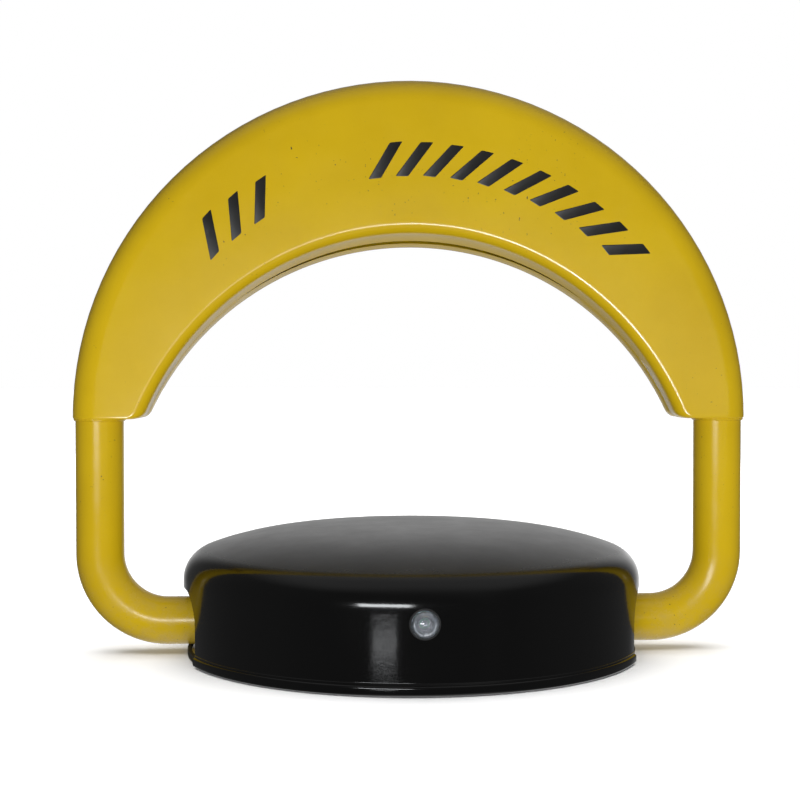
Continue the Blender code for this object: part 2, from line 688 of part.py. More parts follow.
def make_leads():
    """Leads that leave a terminal or a case square to its face."""
    cap, wall = MOTOR_CAP_Y - LEAD_REST, CONTROL_LOW[0] - LEAD_REST
    motor = [(MOTOR_X, cap, MOTOR_Z), (MOTOR_X, cap - 0.0050, MOTOR_Z), (0.004, cap - 0.0120, 0.0430)]
    motor += [(0.016, -0.1480, 0.0310), (0.027, -0.1330, 0.0230), (0.034, -0.1140, 0.0210)]
    motor += [(wall - 0.0060, -0.1060, 0.0210), (wall, -0.1060, 0.0210)]
    rear = CONTROL_HIGH[1] + LEAD_REST
    tab = BATTERY_LOW[1] - GAP - TERMINAL_DEPTH - LEAD_REST
    plus = [(TERMINAL_X, tab, 0.055), (TERMINAL_X, tab - 0.0050, 0.0550), (0.064, 0.024, 0.0590)]
    plus += [(0.072, 0.004, 0.0610), (0.077, -0.020, 0.0500), (0.078, -0.037, 0.0330)]
    plus += [(0.078, rear + 0.0050, 0.0280), (0.078, rear, 0.0280)]
    minus = [(-TERMINAL_X, tab, 0.055), (-TERMINAL_X, tab - 0.0050, 0.0550), (-0.050, 0.031, 0.0600)]
    minus += [(-0.020, 0.0300, 0.0620), (0.020, 0.0290, 0.0630), (0.052, 0.016, 0.0640)]
    minus += [(0.064, -0.008, 0.0580), (0.066, -0.035, 0.0350)]
    minus += [(0.066, rear + 0.0050, 0.0280), (0.066, rear, 0.0280)]
    wire("motor_lead", smooth_route(motor), 0.0022, RUBBER)
    wire("battery_lead_plus", smooth_route(plus), 0.0018, RED_LEAD)
    wire("battery_lead_minus", smooth_route(minus), 0.0018, RUBBER)


# ---------------------------------------------------------------- cover, lens, lock


def cover_profile(thinner):
    """(radius, height) from the middle of the dome down to the foot, for the outer face or the inner one."""
    radius = COVER_R - thinner
    shoulder = SHOULDER_R - thinner
    steps = 4 if thinner else 6
    edge_r = radius - shoulder + shoulder * math.sin(SHOULDER_SLOPE)
    edge_z = SHOULDER_Z + shoulder * math.cos(SHOULDER_SLOPE)
    top = COVER_TOP - thinner
    power = math.tan(SHOULDER_SLOPE) * edge_r / (top - edge_z)
    dome = []
    for i in range(steps):
        reach = edge_r * (i / steps) ** 0.8
        dome.append((reach, edge_z + (top - edge_z) * (1 - (reach / edge_r) ** power)))
    first = 90 - math.degrees(SHOULDER_SLOPE)
    return dome + arc((radius - shoulder, SHOULDER_Z), shoulder, first, 0, SHOULDER_STEPS)


def make_cover(cover):
    hem = [(COVER_R, HEM_H + 0.0012), (COVER_R + HEM_OUT, HEM_H), (COVER_R + HEM_OUT, COVER_FOOT + 0.0008)]
    hem += [(COVER_R, COVER_FOOT), (COVER_R - SHEET, COVER_FOOT)]
    profile = cover_profile(0.0) + hem + cover_profile(SHEET)[::-1]
    shell = add("cover", turned(profile, sides=ROUND), BLACK_PAINT, cover)
    edge = NOTCH_HALF - NOTCH_R
    notch = [(-NOTCH_HALF, -0.02), (NOTCH_HALF, -0.02)]
    notch += arc((edge, NOTCH_TOP - NOTCH_R), NOTCH_R, 0, 90, 6)
    notch += arc((-edge, NOTCH_TOP - NOTCH_R), NOTCH_R, 90, 180, 6)
    combine(shell, "cover_notches", extruded(notch, "X", -COVER_R - CLEAR_OF, COVER_R + CLEAR_OF))
    near, far = COVER_R - CLEAR_OF, COVER_R + CLEAR_OF
    lens_hole = rod(COVER_HOLE_R, -far, -near, (0, 0, LENS_Z), "Y", 20)
    lock_hole = rod(COVER_HOLE_R, near, far, (0, 0, LOCK_Z), "Y", 20)
    combine(shell, "cover_holes", merge(lens_hole, lock_hole))


def make_lens(cover):
    at = (0, 0, LENS_Z)
    face = -COVER_R - GAP
    add("lens_gasket", ring(COVER_HOLE_R, 0.0122, face - 0.0010, face, at, "Y"), RUBBER, cover)
    seat, end = face - 0.0010 - GAP, -0.1900
    dome = [(0, seat - 0.0078), (0.0044, seat - 0.0070), (0.0078, seat - 0.0050), (0.0102, seat - 0.0020)]
    stem = [(0.0108, seat), (STEM_R, seat), (STEM_R, end), (0.0078, end), (0.0078, seat - 0.0005)]
    inside = [(0.0068, seat - 0.0030), (0.0040, seat - 0.0052), (0, seat - 0.0060)]
    add("indicator_lens", turned(dome + stem + inside, at, "Y"), CLEAR, cover)
    nut = [(0.0102, -0.1985), (0.0140, -0.1985), (0.0140, -0.1935), (0.0102, -0.1935)]
    add("lens_nut", turned(nut, at, "Y", hexagon=(1, 2)), BLACK_PLASTIC, cover)
    led_r, board_r = 0.0027, 0.0070
    board = [(0, -0.2010), (0.0020, -0.2003), (led_r, -0.1980), (led_r, end)]
    board += [(board_r, end), (board_r, end + 0.0020), (0, end + 0.0020)]
    add("indicator_led", turned(board, at, "Y", 20), BOARD_GREEN, cover)


def make_lock(cover, key):
    at = (0, 0, LOCK_Z)
    face = COVER_R + GAP
    flange, flange_r = face + 0.0030, 0.0130
    plug_r, end = 0.0065, 0.1800
    hole = round_hole(plug_r + GAP)
    barrel = [(hole, end), (STEM_R, end), (STEM_R, face), (flange_r, face)]
    barrel += [(flange_r, flange - 0.0008), (flange_r - 0.0008, flange), (hole, flange)]
    add("lock_body", turned(barrel, at, "Y"), CHROME, cover)
    nut = [(0.0101, 0.1935), (0.0150, 0.1935), (0.0150, 0.1980), (0.0101, 0.1980)]
    add("lock_nut", turned(nut, at, "Y", hexagon=(1, 2)), ZINC, cover)
    cylinder = rod(plug_r, end - 0.0010, flange - 0.0006, at, "Y", chamfer=0.0004)
    plug = add("lock_plug", cylinder, BRASS, key)
    slot_high = 0.0036
    slot = box((-0.0008, flange - 0.006, LOCK_Z - slot_high), (0.0008, flange + CLEAR_OF, LOCK_Z + slot_high))
    combine(plug, "key_slot", slot)
    half, tip = 0.0060, LOCK_Z - 0.0260
    outline = [(half, LOCK_Z)] + arc((0, LOCK_Z), 0.0085, 20, 160, 6)
    outline += [(-half, LOCK_Z), (-half, tip), (half, tip)]
    add("lock_cam", extruded(outline, "Y", 0.1757, 0.1787), ZINC, key)
    low, high, thick = 0.0525, 0.0560, 0.0030
    post = [(0.0140, low), (0.0310, low), (0.0310, FLOOR), (0.0540, FLOOR)]
    post += [(0.0540, FLOOR + thick), (0.0340, FLOOR + thick), (0.0340, high), (0.0140, high)]
    add("lock_catch", extruded(post, "Y", 0.1670, 0.1800), ZINC)


# ---------------------------------------------------------------- assembly


def main():
    clear_scene()
    drive = pivot("drive_axis", (0, 0, AXIS_Z))
    hoop = pivot("hoop_axis", (0, 0, AXIS_Z), drive)
    output = pivot("output_axis", (0, PINION_Y, AXIS_Z))
    cover = pivot("cover_lift_axis", (0, 0, 0))
    key = pivot("lock_axis", (0, COVER_R, LOCK_Z), cover)
    make_plate()
    make_bearings()
    make_gearmotor()
    make_battery()
    make_controller()
    make_sensors()
    make_leads()
    make_hoop(hoop)
    make_panel(hoop)
    make_gears(drive, output)
    wire("buffer_spring", spring_points(), SPRING_WIRE_R, STEEL, 2, drive)
    make_cover(cover)
    make_lens(cover)
    make_lock(cover, key)


main()
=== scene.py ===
from math import atan2, cos, degrees, pi, radians, sin, sqrt, tan

import bmesh
import bpy
from mathutils import Matrix, Vector


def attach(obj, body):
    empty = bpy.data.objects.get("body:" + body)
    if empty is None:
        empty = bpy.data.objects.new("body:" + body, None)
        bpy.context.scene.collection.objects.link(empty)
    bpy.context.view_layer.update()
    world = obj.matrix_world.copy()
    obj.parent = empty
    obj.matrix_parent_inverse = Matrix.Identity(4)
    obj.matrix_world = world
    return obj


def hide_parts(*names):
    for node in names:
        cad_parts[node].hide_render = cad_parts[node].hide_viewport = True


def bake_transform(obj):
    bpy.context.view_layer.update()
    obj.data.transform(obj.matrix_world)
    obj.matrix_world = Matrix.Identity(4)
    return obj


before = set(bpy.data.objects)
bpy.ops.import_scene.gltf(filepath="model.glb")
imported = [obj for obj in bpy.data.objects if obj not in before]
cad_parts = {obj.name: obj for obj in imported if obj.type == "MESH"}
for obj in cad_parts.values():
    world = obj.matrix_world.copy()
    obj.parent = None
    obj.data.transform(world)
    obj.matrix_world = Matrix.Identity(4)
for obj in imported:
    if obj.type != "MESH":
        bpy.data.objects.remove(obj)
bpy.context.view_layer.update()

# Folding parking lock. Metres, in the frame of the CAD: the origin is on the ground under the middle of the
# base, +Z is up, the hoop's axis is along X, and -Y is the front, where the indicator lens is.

GAP = 0.0003  # clearance between parts that meet
SAME_POINT = 1e-7  # points nearer than this are one
NO_CORNER = 1e-6  # a rounding smaller than this is left out
SIDES = ((-1, "left"), (1, "right"))

# Hoop and panel
TUBE_R = 0.0212
TUBE_WALL = 0.003
HOOP_HALF = 0.2768
BEND_R = 0.06
AXIS_Z = 0.028
TUBE_END = 0.128
LEG_BEND_X = 0.172
ARCH_Z = 0.208
PANEL_R = 0.3
PANEL_HALF = 0.0232
PANEL_WALL = 0.0015
PANEL_NOSE = (0.022, 0.021)  # the outer rounding, across the face and along Y
PANEL_LIP = 0.011  # the rounding at the opening
PANEL_END_R = 0.0016
OPENING_R = 0.2565
OPENING_Z = 0.1057
RIM_RISE = 0.01  # how far the rim of the opening slopes
CORNER_R = 0.012
# The rear screws: angle on the arch in degrees, and distance from its centre
SCREW_SPOTS = ((168, 0.2375), (125, 0.205), (55, 0.205), (12, 0.2375))

# Light: the room's brightness in its parts, and then the strength of each lamp
BACK_LOW = 1.1  # low down at the back
ROOM = 0.34  # higher up at the back
OVERHEAD = 0.45
SIDE = 0.12
FRONT = 0.08
FLOOR_LIGHT = 3.6
KEY = 16.0
PANEL_KEY = 6.2
FLOOR_SHINE = 0.34
LIP_LIGHT = 26.0
FRONT_FILL = 34.0
REAR_FILL = 35.0

# Base
PLATE_T = 0.005
PLATE_R = 0.1955
ANCHOR_SPOT = (0.128, 0.105)
BOLT_SPOT = (0.105, 0.032)
COVER_R = 0.2025
SHEET = 0.002  # thickness of the cover's metal
COVER_FOOT = 0.0008
COVER_TOP = 0.1128
SHOULDER_Z = 0.0672
SHOULDER_R = 0.028
SHOULDER_SLOPE = radians(19.7)
HEM_H = 0.0092
HEM_OUT = 0.0018
NOTCH_HALF = 0.078
NOTCH_TOP = 0.062
NOTCH_R = 0.03
LENS_Z = 0.057
LOCK_Z = 0.045


# ---- mesh code


def arc(centre, radius, start, end, steps):
    """Points of an arc, in degrees."""
    points = []
    for i in range(steps + 1):
        angle = radians(start + (end - start) * i / steps)
        points.append((centre[0] + radius * cos(angle), centre[1] + radius * sin(angle)))
    return points


def skin(rings, closed_path=False):
    """Joins rings of points, each a closed loop of the same length, into one closed surface."""
    bm = bmesh.new()
    rows = [[bm.verts.new(point) for point in ring] for ring in rings]
    count = len(rows[0])
    pairs = list(zip(rows, rows[1:]))
    if closed_path:
        pairs.append((rows[-1], rows[0]))
    for first, second in pairs:
        for i in range(count):
            j = (i + 1) % count
            bm.faces.new((first[i], first[j], second[j], second[i]))
    if not closed_path:
        bm.faces.new(rows[0])
        bm.faces.new(rows[-1])
    return bm


TURNS = {
    "X": Matrix.Rotation(pi / 2, 3, "Y"),
    "Y": Matrix.Rotation(-pi / 2, 3, "X"),
    "Z": Matrix.Identity(3),
}


def turned(profile, at=(0, 0, 0), along="Z", sides=64, hexagon=()):
    """Turns (radius, height) points about an axis. A profile that starts and ends on the axis makes a solid,
    and any other makes a ring. The points whose numbers are in hexagon lie on a hexagon."""
    bm = bmesh.new()
    rows = []
    for number, (radius, height) in enumerate(profile):
        if radius == 0:
            rows.append([bm.verts.new(TURNS[along] @ Vector((0, 0, height)) + Vector(at))])
            continue
        row = []
        for i in range(sides):
            angle = 2 * pi * i / sides
            reach = radius
            if number in hexagon:
                from_flat = (angle + pi / 6) % (pi / 3) - pi / 6
                reach *= cos(pi / 6) / cos(from_flat)
            point = Vector((reach * cos(angle), reach * sin(angle), height))
            row.append(bm.verts.new(TURNS[along] @ point + Vector(at)))
        rows.append(row)
    pairs = list(zip(rows, rows[1:]))
    if profile[0][0] and profile[-1][0]:
        pairs.append((rows[-1], rows[0]))
    for first, second in pairs:
        for i in range(sides):
            j = (i + 1) % sides
            if len(first) == 1:
                bm.faces.new((first[0], second[i], second[j]))
            elif len(second) == 1:
                bm.faces.new((first[i], first[j], second[0]))
            else:
                bm.faces.new((first[i], first[j], second[j], second[i]))
    return bm


def rounded(profile, radius, steps=4):
    """The (radius, height) profile with its corners rounded, except at its two ends."""
    made = [profile[0]]
    for number in range(1, len(profile) - 1):
        before, corner, after = (Vector(profile[number + k]) for k in (-1, 0, 1))
        into, out = before - corner, after - corner
        reach = min(radius, 0.45 * into.length, 0.45 * out.length)
        if reach < NO_CORNER:
            made.append(tuple(corner))
            continue
        first, last = corner + into.normalized() * reach, corner + out.normalized() * reach
        for i in range(steps + 1):
            t = i / steps
            made.append(tuple((1 - t) ** 2 * first + 2 * t * (1 - t) * corner + t**2 * last))
    return made + [profile[-1]]


def rounded_loop(outline, radius, steps):
    """A closed outline with all its corners rounded."""
    return rounded(outline[-1:] + outline + outline[:1], radius, steps)[1:-1]


def rod(radius, start, end, at=(0, 0, 0), along="Z", sides=64, edge=0.0):
    profile = [(0, start), (radius, start), (radius, end), (0, end)]
    return turned(rounded(profile, edge) if edge else profile, at, along, sides)


def ring(inner, outer, start, end, at=(0, 0, 0), along="Z", sides=64, edge=0.0):
    profile = [(inner, start), (outer, start), (outer, end), (inner, end)]
    if edge:
        profile = rounded(profile + profile[:2], edge)[1:-1]
    return turned(profile, at, along, sides)


def box(low, high, bevel=0.0, segments=3):
    bm = bmesh.new()
    bmesh.ops.create_cube(bm, size=1.0)
    low, high = Vector(low), Vector(high)
    bmesh.ops.scale(bm, vec=high - low, verts=bm.verts)
    bmesh.ops.translate(bm, vec=(high + low) / 2, verts=bm.verts)
    if bevel:
        bmesh.ops.bevel(bm, geom=bm.edges[:], offset=bevel, segments=segments, profile=0.5, affect="EDGES")
    return bm


def extruded(outline, along, start, end):
    """Extrudes a closed outline of (u, v) points along X (u on Y) or along Y (u on X), with v on Z."""
    rings = []
    for level in (start, end):
        rings.append([(level, u, v) if along == "X" else (u, level, v) for u, v in outline])
    return skin(rings)


def mesh_of(name, bm):
    """The bmesh as a mesh. The bmesh is freed."""
    mesh = bpy.data.meshes.new(name)
    bm.to_mesh(mesh)
    bm.free()
    return mesh


def placed(name, data):
    """A new object in the scene."""
    item = bpy.data.objects.new(name, data)
    bpy.context.scene.collection.objects.link(item)
    return item


def merge(*parts):
    """One bmesh that holds several separate shapes."""
    whole = bmesh.new()
    for part in parts:
        mesh = mesh_of("part", part)
        whole.from_mesh(mesh)
        bpy.data.meshes.remove(mesh)
    return whole


def helper(bm):
    bmesh.ops.recalc_face_normals(bm, faces=bm.faces)
    return placed("helper", mesh_of("helper", bm))


def evaluated(item):
    """The object's mesh with its modifiers applied, as a bmesh. The object is removed."""
    bpy.context.view_layer.update()
    graph = bpy.context.evaluated_depsgraph_get()
    bm = bmesh.new()
    bm.from_mesh(item.evaluated_get(graph).to_mesh())
    bpy.data.objects.remove(item)
    return bm


def combine(bm, other, operation="DIFFERENCE"):
    """The first shape with the second cut from it, or joined to it."""
    item, tool = helper(bm), helper(other)
    change = item.modifiers.new("change", "BOOLEAN")
    change.operation = operation
    change.object = tool
    change.solver = "MANIFOLD"
    made = evaluated(item)
    bpy.data.objects.remove(tool)
    return made


def bevelled(bm, width, segments=2, angle=35):
    item = helper(bm)
    change = item.modifiers.new("edges", "BEVEL")
    change.width = width
    change.segments = segments
    change.limit_method = "ANGLE"
    change.angle_limit = radians(angle)
    change.use_clamp_overlap = True
    return evaluated(item)


def pressed(outline, along, start, end, width=0.0003):
    """A part of one section throughout, with its edges broken."""
    return bevelled(extruded(outline, along, start, end), width)


def add(name, bm, look, body="base", stands_for=(), sharp=35):
    """Makes a piece that rides on a body, or stays in place when given no body's name, and stands for the CAD
    nodes named.
    """
    bmesh.ops.remove_doubles(bm, verts=bm.verts, dist=SAME_POINT)
    bmesh.ops.recalc_face_normals(bm, faces=bm.faces)
    mesh = mesh_of(name, bm)
    mesh.shade_smooth()
    mesh.set_sharp_from_angle(angle=radians(sharp))
    mesh.materials.append(look)
    item = placed(name, mesh)
    if isinstance(body, str):
        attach(item, body)
    else:
        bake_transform(item)
    if stands_for:
        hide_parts(*stands_for)


def fine(node, bm, look, body="base", sharp=35):
    """Adds the detailed piece that stands for one CAD node."""
    add(f"{node}_fine", bm, look, body, [node], sharp)


# ---- materials


def feed(tree, socket, value):
    """Links another node's output to a socket, or writes a plain value there."""
    if isinstance(value, bpy.types.NodeSocket):
        tree.links.new(value, socket)
    else:
        socket.default_value = value


class Look:
    """A Principled material and the nodes that vary it. Positions are the piece's own, in metres."""

    def __init__(self, name, slot, colour, roughness, metallic=0.0, **sockets):
        self.material = bpy.data.materials.new(name)
        self.material.use_nodes = True
        self.material["slot"] = slot
        self.tree = self.material.node_tree
        self.shader = self.tree.nodes["Principled BSDF"]
        self.colour = (*colour, 1.0)
        self.place = self.tree.nodes.new("ShaderNodeTexCoord").outputs["Object"]
        self.set("Base Color", self.colour)
        self.set("Roughness", roughness)
        self.set("Metallic", metallic)
        for socket, value in sockets.items():
            self.set(socket.replace("_", " "), value)

    def set(self, socket, value):
        feed(self.tree, self.shader.inputs[socket], value)

    def node(self, kind, inputs, **settings):
        made = self.tree.nodes.new(kind)
        for key, value in settings.items():
            setattr(made, key, value)
        for socket, value in inputs.items():
            feed(self.tree, made.inputs[socket], value)
        return made

    def noise(self, scale, detail=3.0, roughness=0.5, stretch=None):
        place = self.place
        if stretch:
            place = self.node("ShaderNodeMapping", {"Vector": place, "Scale": stretch}).outputs["Vector"]
        inputs = {"Vector": place, "Scale": scale, "Detail": detail, "Roughness": roughness}
        return self.node("ShaderNodeTexNoise", inputs).outputs["Fac"]

    def between(self, value, low, high, out_low=0.0, out_high=1.0):
        """The value, stretched so that low to high becomes out_low to out_high."""
        inputs = {"Value": value, "From Min": low, "From Max": high, "To Min": out_low, "To Max": out_high}
        return self.node("ShaderNodeMapRange", inputs).outputs["Result"]

    def uneven(self, low, high, scale, *detail):
        """A value that wanders from low to high over the surface."""
        return self.between(self.noise(scale, *detail), 0.3, 0.7, low, high)

    def math(self, operation, first, second):
        return self.node("ShaderNodeMath", {0: first, 1: second}, operation=operation).outputs[0]

    def z_of(self, vector):
        return self.node("ShaderNodeSeparateXYZ", {0: vector}).outputs["Z"]

    def layer(self, factor, colour, under=None):
        """The base colour, or what is under, and at factor 1 the given colour."""
        made = self.node("ShaderNodeMix", {}, data_type="RGBA")
        for name, value in (("Factor", factor), ("A", under or self.colour), ("B", (*colour, 1.0))):
            feed(self.tree, [s for s in made.inputs if s.name == name and s.enabled][0], value)
        return [s for s in made.outputs if s.enabled][0]

    def tint(self, factor, change):
        """The base colour, and at factor 1 the base colour times the change."""
        return self.layer(factor, [c * k for c, k in zip(self.colour, change)])

    def bump(self, height, distance, strength=1.0, over=None):
        inputs = {"Height": height, "Distance": distance, "Strength": strength}
        if over:
            inputs["Normal"] = over
        return self.node("ShaderNodeBump", inputs).outputs["Normal"]

    def finish(self, colour, roughness, normal):
        """Feeds the three sockets that every look varies."""
        self.set("Base Color", colour)
        self.set("Roughness", roughness)
        self.set("Normal", normal)
        return self.material


def yellow_paint():
    """Gloss yellow powder coat: orange peel, a little mottling, dust low down, and small dark chips."""
    look = Look("yellow_paint", "painted_yellow", (0.72, 0.48, 0.01), 0.3, Specular_IOR_Level=0.45)
    mottled = look.tint(look.between(look.noise(9, 5, 0.6), 0.35, 0.7), (0.9, 0.88, 0.75))
    chips = look.between(look.noise(420, 2, 0.4), 0.735, 0.745)
    where = look.between(look.noise(14, 2), 0.5, 0.62)
    chipped = look.layer(look.math("MULTIPLY", chips, where), (0.1, 0.075, 0.03), mottled)
    low_down = look.between(look.z_of(look.place), 0.09, 0.01)
    dust = look.math("MULTIPLY", low_down, look.between(look.noise(60, 6, 0.7), 0.4, 0.75))
    colour = look.layer(look.math("MULTIPLY", dust, 0.35), (0.33, 0.28, 0.2), chipped)
    rubbed = look.between(look.noise(35, 4, 0.6), 0.35, 0.7, 0.17, 0.25)
    roughness = look.math("ADD", rubbed, look.math("MULTIPLY", dust, 0.25))
    peel = look.bump(look.noise(300, 2), 0.00012, 0.35)
    return look.finish(colour, roughness, look.bump(chips, 0.0001, -0.2, peel))


def black_paint():
    """Gloss black enamel on pressed steel, with fine wiping marks and a film of dust on top."""
    look = Look("black_paint", "painted_black", (0.0025, 0.0025, 0.0025), 0.22, Specular_IOR_Level=0.5)
    normal = look.node("ShaderNodeNewGeometry", {}).outputs["Normal"]
    upward = look.between(look.z_of(normal), 0.75, 1.0)
    dust = look.between(look.noise(22, 6, 0.65), 0.35, 0.72, 0.25, 1.0)
    film = look.math("MULTIPLY", look.math("MULTIPLY", dust, upward), 0.055)
    wiped = look.uneven(0.09, 0.14, 30, 4, 0.7, (1.0, 1.0, 0.3))
    roughness = look.math("ADD", wiped, look.math("MULTIPLY", upward, 0.22))
    ripple = look.bump(look.noise(240, 2), 0.0001, 0.3)
    return look.finish(look.layer(film, (0.34, 0.33, 0.31)), roughness, ripple)


def brushed(name, slot, colour, roughness, stretch, stain=(0.75, 0.73, 0.7)):
    """Metal with fine lines along one direction and faint stains."""
    look = Look(name, slot, colour, roughness, 1.0)
    lines = look.noise(260, 4, 0.6, stretch)
    stained = look.tint(look.between(look.noise(26, 5, 0.6), 0.42, 0.7), stain)
    shine = look.between(lines, 0.3, 0.7, roughness - 0.07, roughness + 0.09)
    return look.finish(stained, shine, look.bump(lines, 0.00004, 0.5))


def zinc_plate():
    """Bright zinc with a faint blue and straw passivation and fine grain."""
    look = Look("zinc_plate", "zinc", (0.58, 0.6, 0.61), 0.34, 1.0)
    straw = look.layer(look.between(look.noise(45, 4, 0.6), 0.4, 0.65), (0.66, 0.61, 0.5))
    grain = look.bump(look.noise(700, 3, 0.6), 0.00004, 0.4)
    return look.finish(straw, look.uneven(0.27, 0.44, 160, 5, 0.7), grain)


def cast_metal():
    """Die-cast aluminium: a fine pebbled skin with darker hollows."""
    look = Look("cast_aluminium", "cast_aluminium", (0.6, 0.61, 0.62), 0.45, 1.0)
    grain = look.noise(520, 5, 0.65)
    hollows = look.tint(look.between(grain, 0.6, 0.35), (0.72, 0.72, 0.72))
    return look.finish(hollows, look.uneven(0.38, 0.56, 70, 4), look.bump(grain, 0.0002, 0.5))


def bronze():
    """Sintered bronze: open pores and a film of oil."""
    look = Look("bronze", "bronze", (0.55, 0.33, 0.14), 0.36, 1.0)
    pores = look.between(look.noise(1500, 3, 0.6), 0.36, 0.5)
    oiled = look.tint(look.math("SUBTRACT", 1.0, pores), (0.45, 0.42, 0.4))
    return look.finish(oiled, look.between(pores, 0, 1, 0.6, 0.3), look.bump(pores, 0.0001, 0.4))


def plain_metal(name, slot, colour, roughness):
    """Polished metal with faint smears."""
    look = Look(name, slot, colour, roughness, 1.0)
    smears = look.noise(90, 5, 0.7)
    dulled = look.tint(look.between(smears, 0.45, 0.75), (0.8, 0.78, 0.74))
    shine = look.between(smears, 0.3, 0.75, roughness * 0.7, roughness * 1.5)
    return look.finish(dulled, shine, look.bump(look.noise(900, 2), 0.00002, 0.3))


def moulded(name, slot, colour, roughness, grain=1600, depth=0.00008):
    """Moulded plastic: spark-eroded grain, slight shine differences and dust."""
    look = Look(name, slot, colour, roughness)
    bumps = look.bump(look.noise(grain, 3, 0.6), depth, 0.5)
    dusty = look.layer(look.between(look.noise(40, 6, 0.7), 0.5, 0.8, 0.0, 0.05), (0.35, 0.33, 0.3))
    return look.finish(dusty, look.uneven(roughness - 0.07, roughness + 0.08, 50), bumps)


def lens_plastic():
    """Clear polycarbonate with a faint haze and moulding ripple."""
    look = Look("lens_plastic", "lens", (0.86, 0.9, 0.96), 0.06, Transmission_Weight=0.9, IOR=1.58)
    haze = look.tint(look.between(look.noise(180), 0.4, 0.7), (0.9, 0.93, 0.97))
    ripple = look.bump(look.noise(320, 2), 0.00004, 0.4)
    return look.finish(haze, look.uneven(0.04, 0.14, 260, 4, 0.6), ripple)


def board_mask():
    """Green solder mask with slightly lighter tracks."""
    look = Look("board_mask", "board", (0.015, 0.13, 0.055), 0.35, Coat_Weight=0.4, Coat_Roughness=0.15)
    bricks = look.node("ShaderNodeTexBrick", {"Vector": look.place, "Scale": 55.0, "Mortar Size": 0.012})
    tracks = bricks.outputs["Fac"]
    tinted = look.tint(tracks, (2.0, 1.5, 1.6))
    return look.finish(tinted, look.uneven(0.28, 0.42, 120), look.bump(tracks, 0.00003, 0.5))


def hazard_film():
    """Black self-adhesive film: satin, faintly pitted, a little scuffed."""
    look = Look("hazard_film", "painted_black", (0.014, 0.013, 0.012), 0.38)
    scuffed = look.layer(look.between(look.noise(120, 6, 0.7), 0.62, 0.8, 0.0, 0.4), (0.1, 0.09, 0.07))
    return look.finish(scuffed, look.uneven(0.32, 0.48, 70, 4), look.bump(look.noise(900, 2), 0.00003, 0.5))


YELLOW = yellow_paint()
BLACK = black_paint()
ZINC = zinc_plate()
STEEL = brushed("ground_steel", "steel", (0.5, 0.5, 0.49), 0.28, (1.0, 0.04, 0.04))
CUT_STEEL = brushed("cut_steel", "steel", (0.46, 0.46, 0.46), 0.34, (0.1, 1.0, 1.0))
DARK_STEEL = brushed("black_oxide", "dark_steel", (0.11, 0.11, 0.12), 0.36, (1.0, 0.2, 0.2), (0.6, 0.6, 0.65))
BRONZE = bronze()
CAST = cast_metal()
CHROME = plain_metal("lock_chrome", "lock_chrome", (0.72, 0.73, 0.75), 0.12)
BRASS = plain_metal("brass", "brass", (0.72, 0.52, 0.22), 0.26)
BLACK_PLASTIC = moulded("black_plastic", "black_plastic", (0.018, 0.018, 0.019), 0.46)
GREY_PLASTIC = moulded("grey_plastic", "grey_plastic", (0.26, 0.27, 0.28), 0.48)
RUBBER = moulded("rubber", "rubber", (0.017, 0.017, 0.017), 0.72, 700, 0.00015)
BLACK_LEAD = moulded("black_insulation", "black_lead", (0.015, 0.015, 0.016), 0.36, 500, 0.00004)
RED_LEAD = moulded("red_insulation", "red_lead", (0.42, 0.018, 0.015), 0.36, 500, 0.00004)
LENS = lens_plastic()
BOARD = board_mask()
FILM = hazard_film()


# ---- hoop


def hoop_path(bend_steps, arch_steps):
    """(centre, outward normal) in the XZ plane along the tube's centre line, left end to right end."""
    corner = HOOP_HALF - BEND_R
    left = [((-TUBE_END, AXIS_Z), (0, -1)), ((-LEG_BEND_X, AXIS_Z), (0, -1))]
    for i in range(bend_steps + 1):
        angle = radians(270 - 90 * i / bend_steps)
        out = (cos(angle), sin(angle))
        left.append(((-corner + BEND_R * out[0], AXIS_Z + BEND_R + BEND_R * out[1]), out))
    arch = []
    for i in range(arch_steps + 1):
        angle = pi - pi * i / arch_steps
        out = (cos(angle), sin(angle))
        arch.append(((HOOP_HALF * out[0], ARCH_Z + HOOP_HALF * out[1]), out))
    right = [((-x, z), (-u, w)) for (x, z), (u, w) in reversed(left)]
    return left + arch + right


def tube_section(centre, out, radius, sides=64):
    points = []
    for i in range(sides):
        angle = 2 * pi * i / sides
        reach = radius * cos(angle)
        points.append((centre[0] + out[0] * reach, radius * sin(angle), centre[1] + out[1] * reach))
    return points


def make_tube():
    path = hoop_path(20, 48)
    outside = [tube_section(centre, out, TUBE_R) for centre, out in path]
    inside = [tube_section(centre, out, TUBE_R - TUBE_WALL) for centre, out in path]
    fine("hoop_tube", skin(outside + inside[::-1], closed_path=True), YELLOW, "hoop", 40)
    for side, label in SIDES:
        bead = []
        at = Vector((side * HOOP_HALF, 0, ARCH_Z - 0.0005))
        for i in range(96):
            angle = 2 * pi * i / 96
            out = Vector((cos(angle), sin(angle), 0))
            thick = 0.0013 + 0.00022 * sin(31 * angle + side) + 0.00012 * sin(13 * angle)
            middle = at + out * (TUBE_R + 0.0002)
            bead.append([middle + out * r + Vector((0, 0, z)) for r, z in arc((0, 0), thick, 0, 330, 11)])
        add(f"weld_bead_{label}", skin(bead, closed_path=True), YELLOW, "hoop", (), 60)


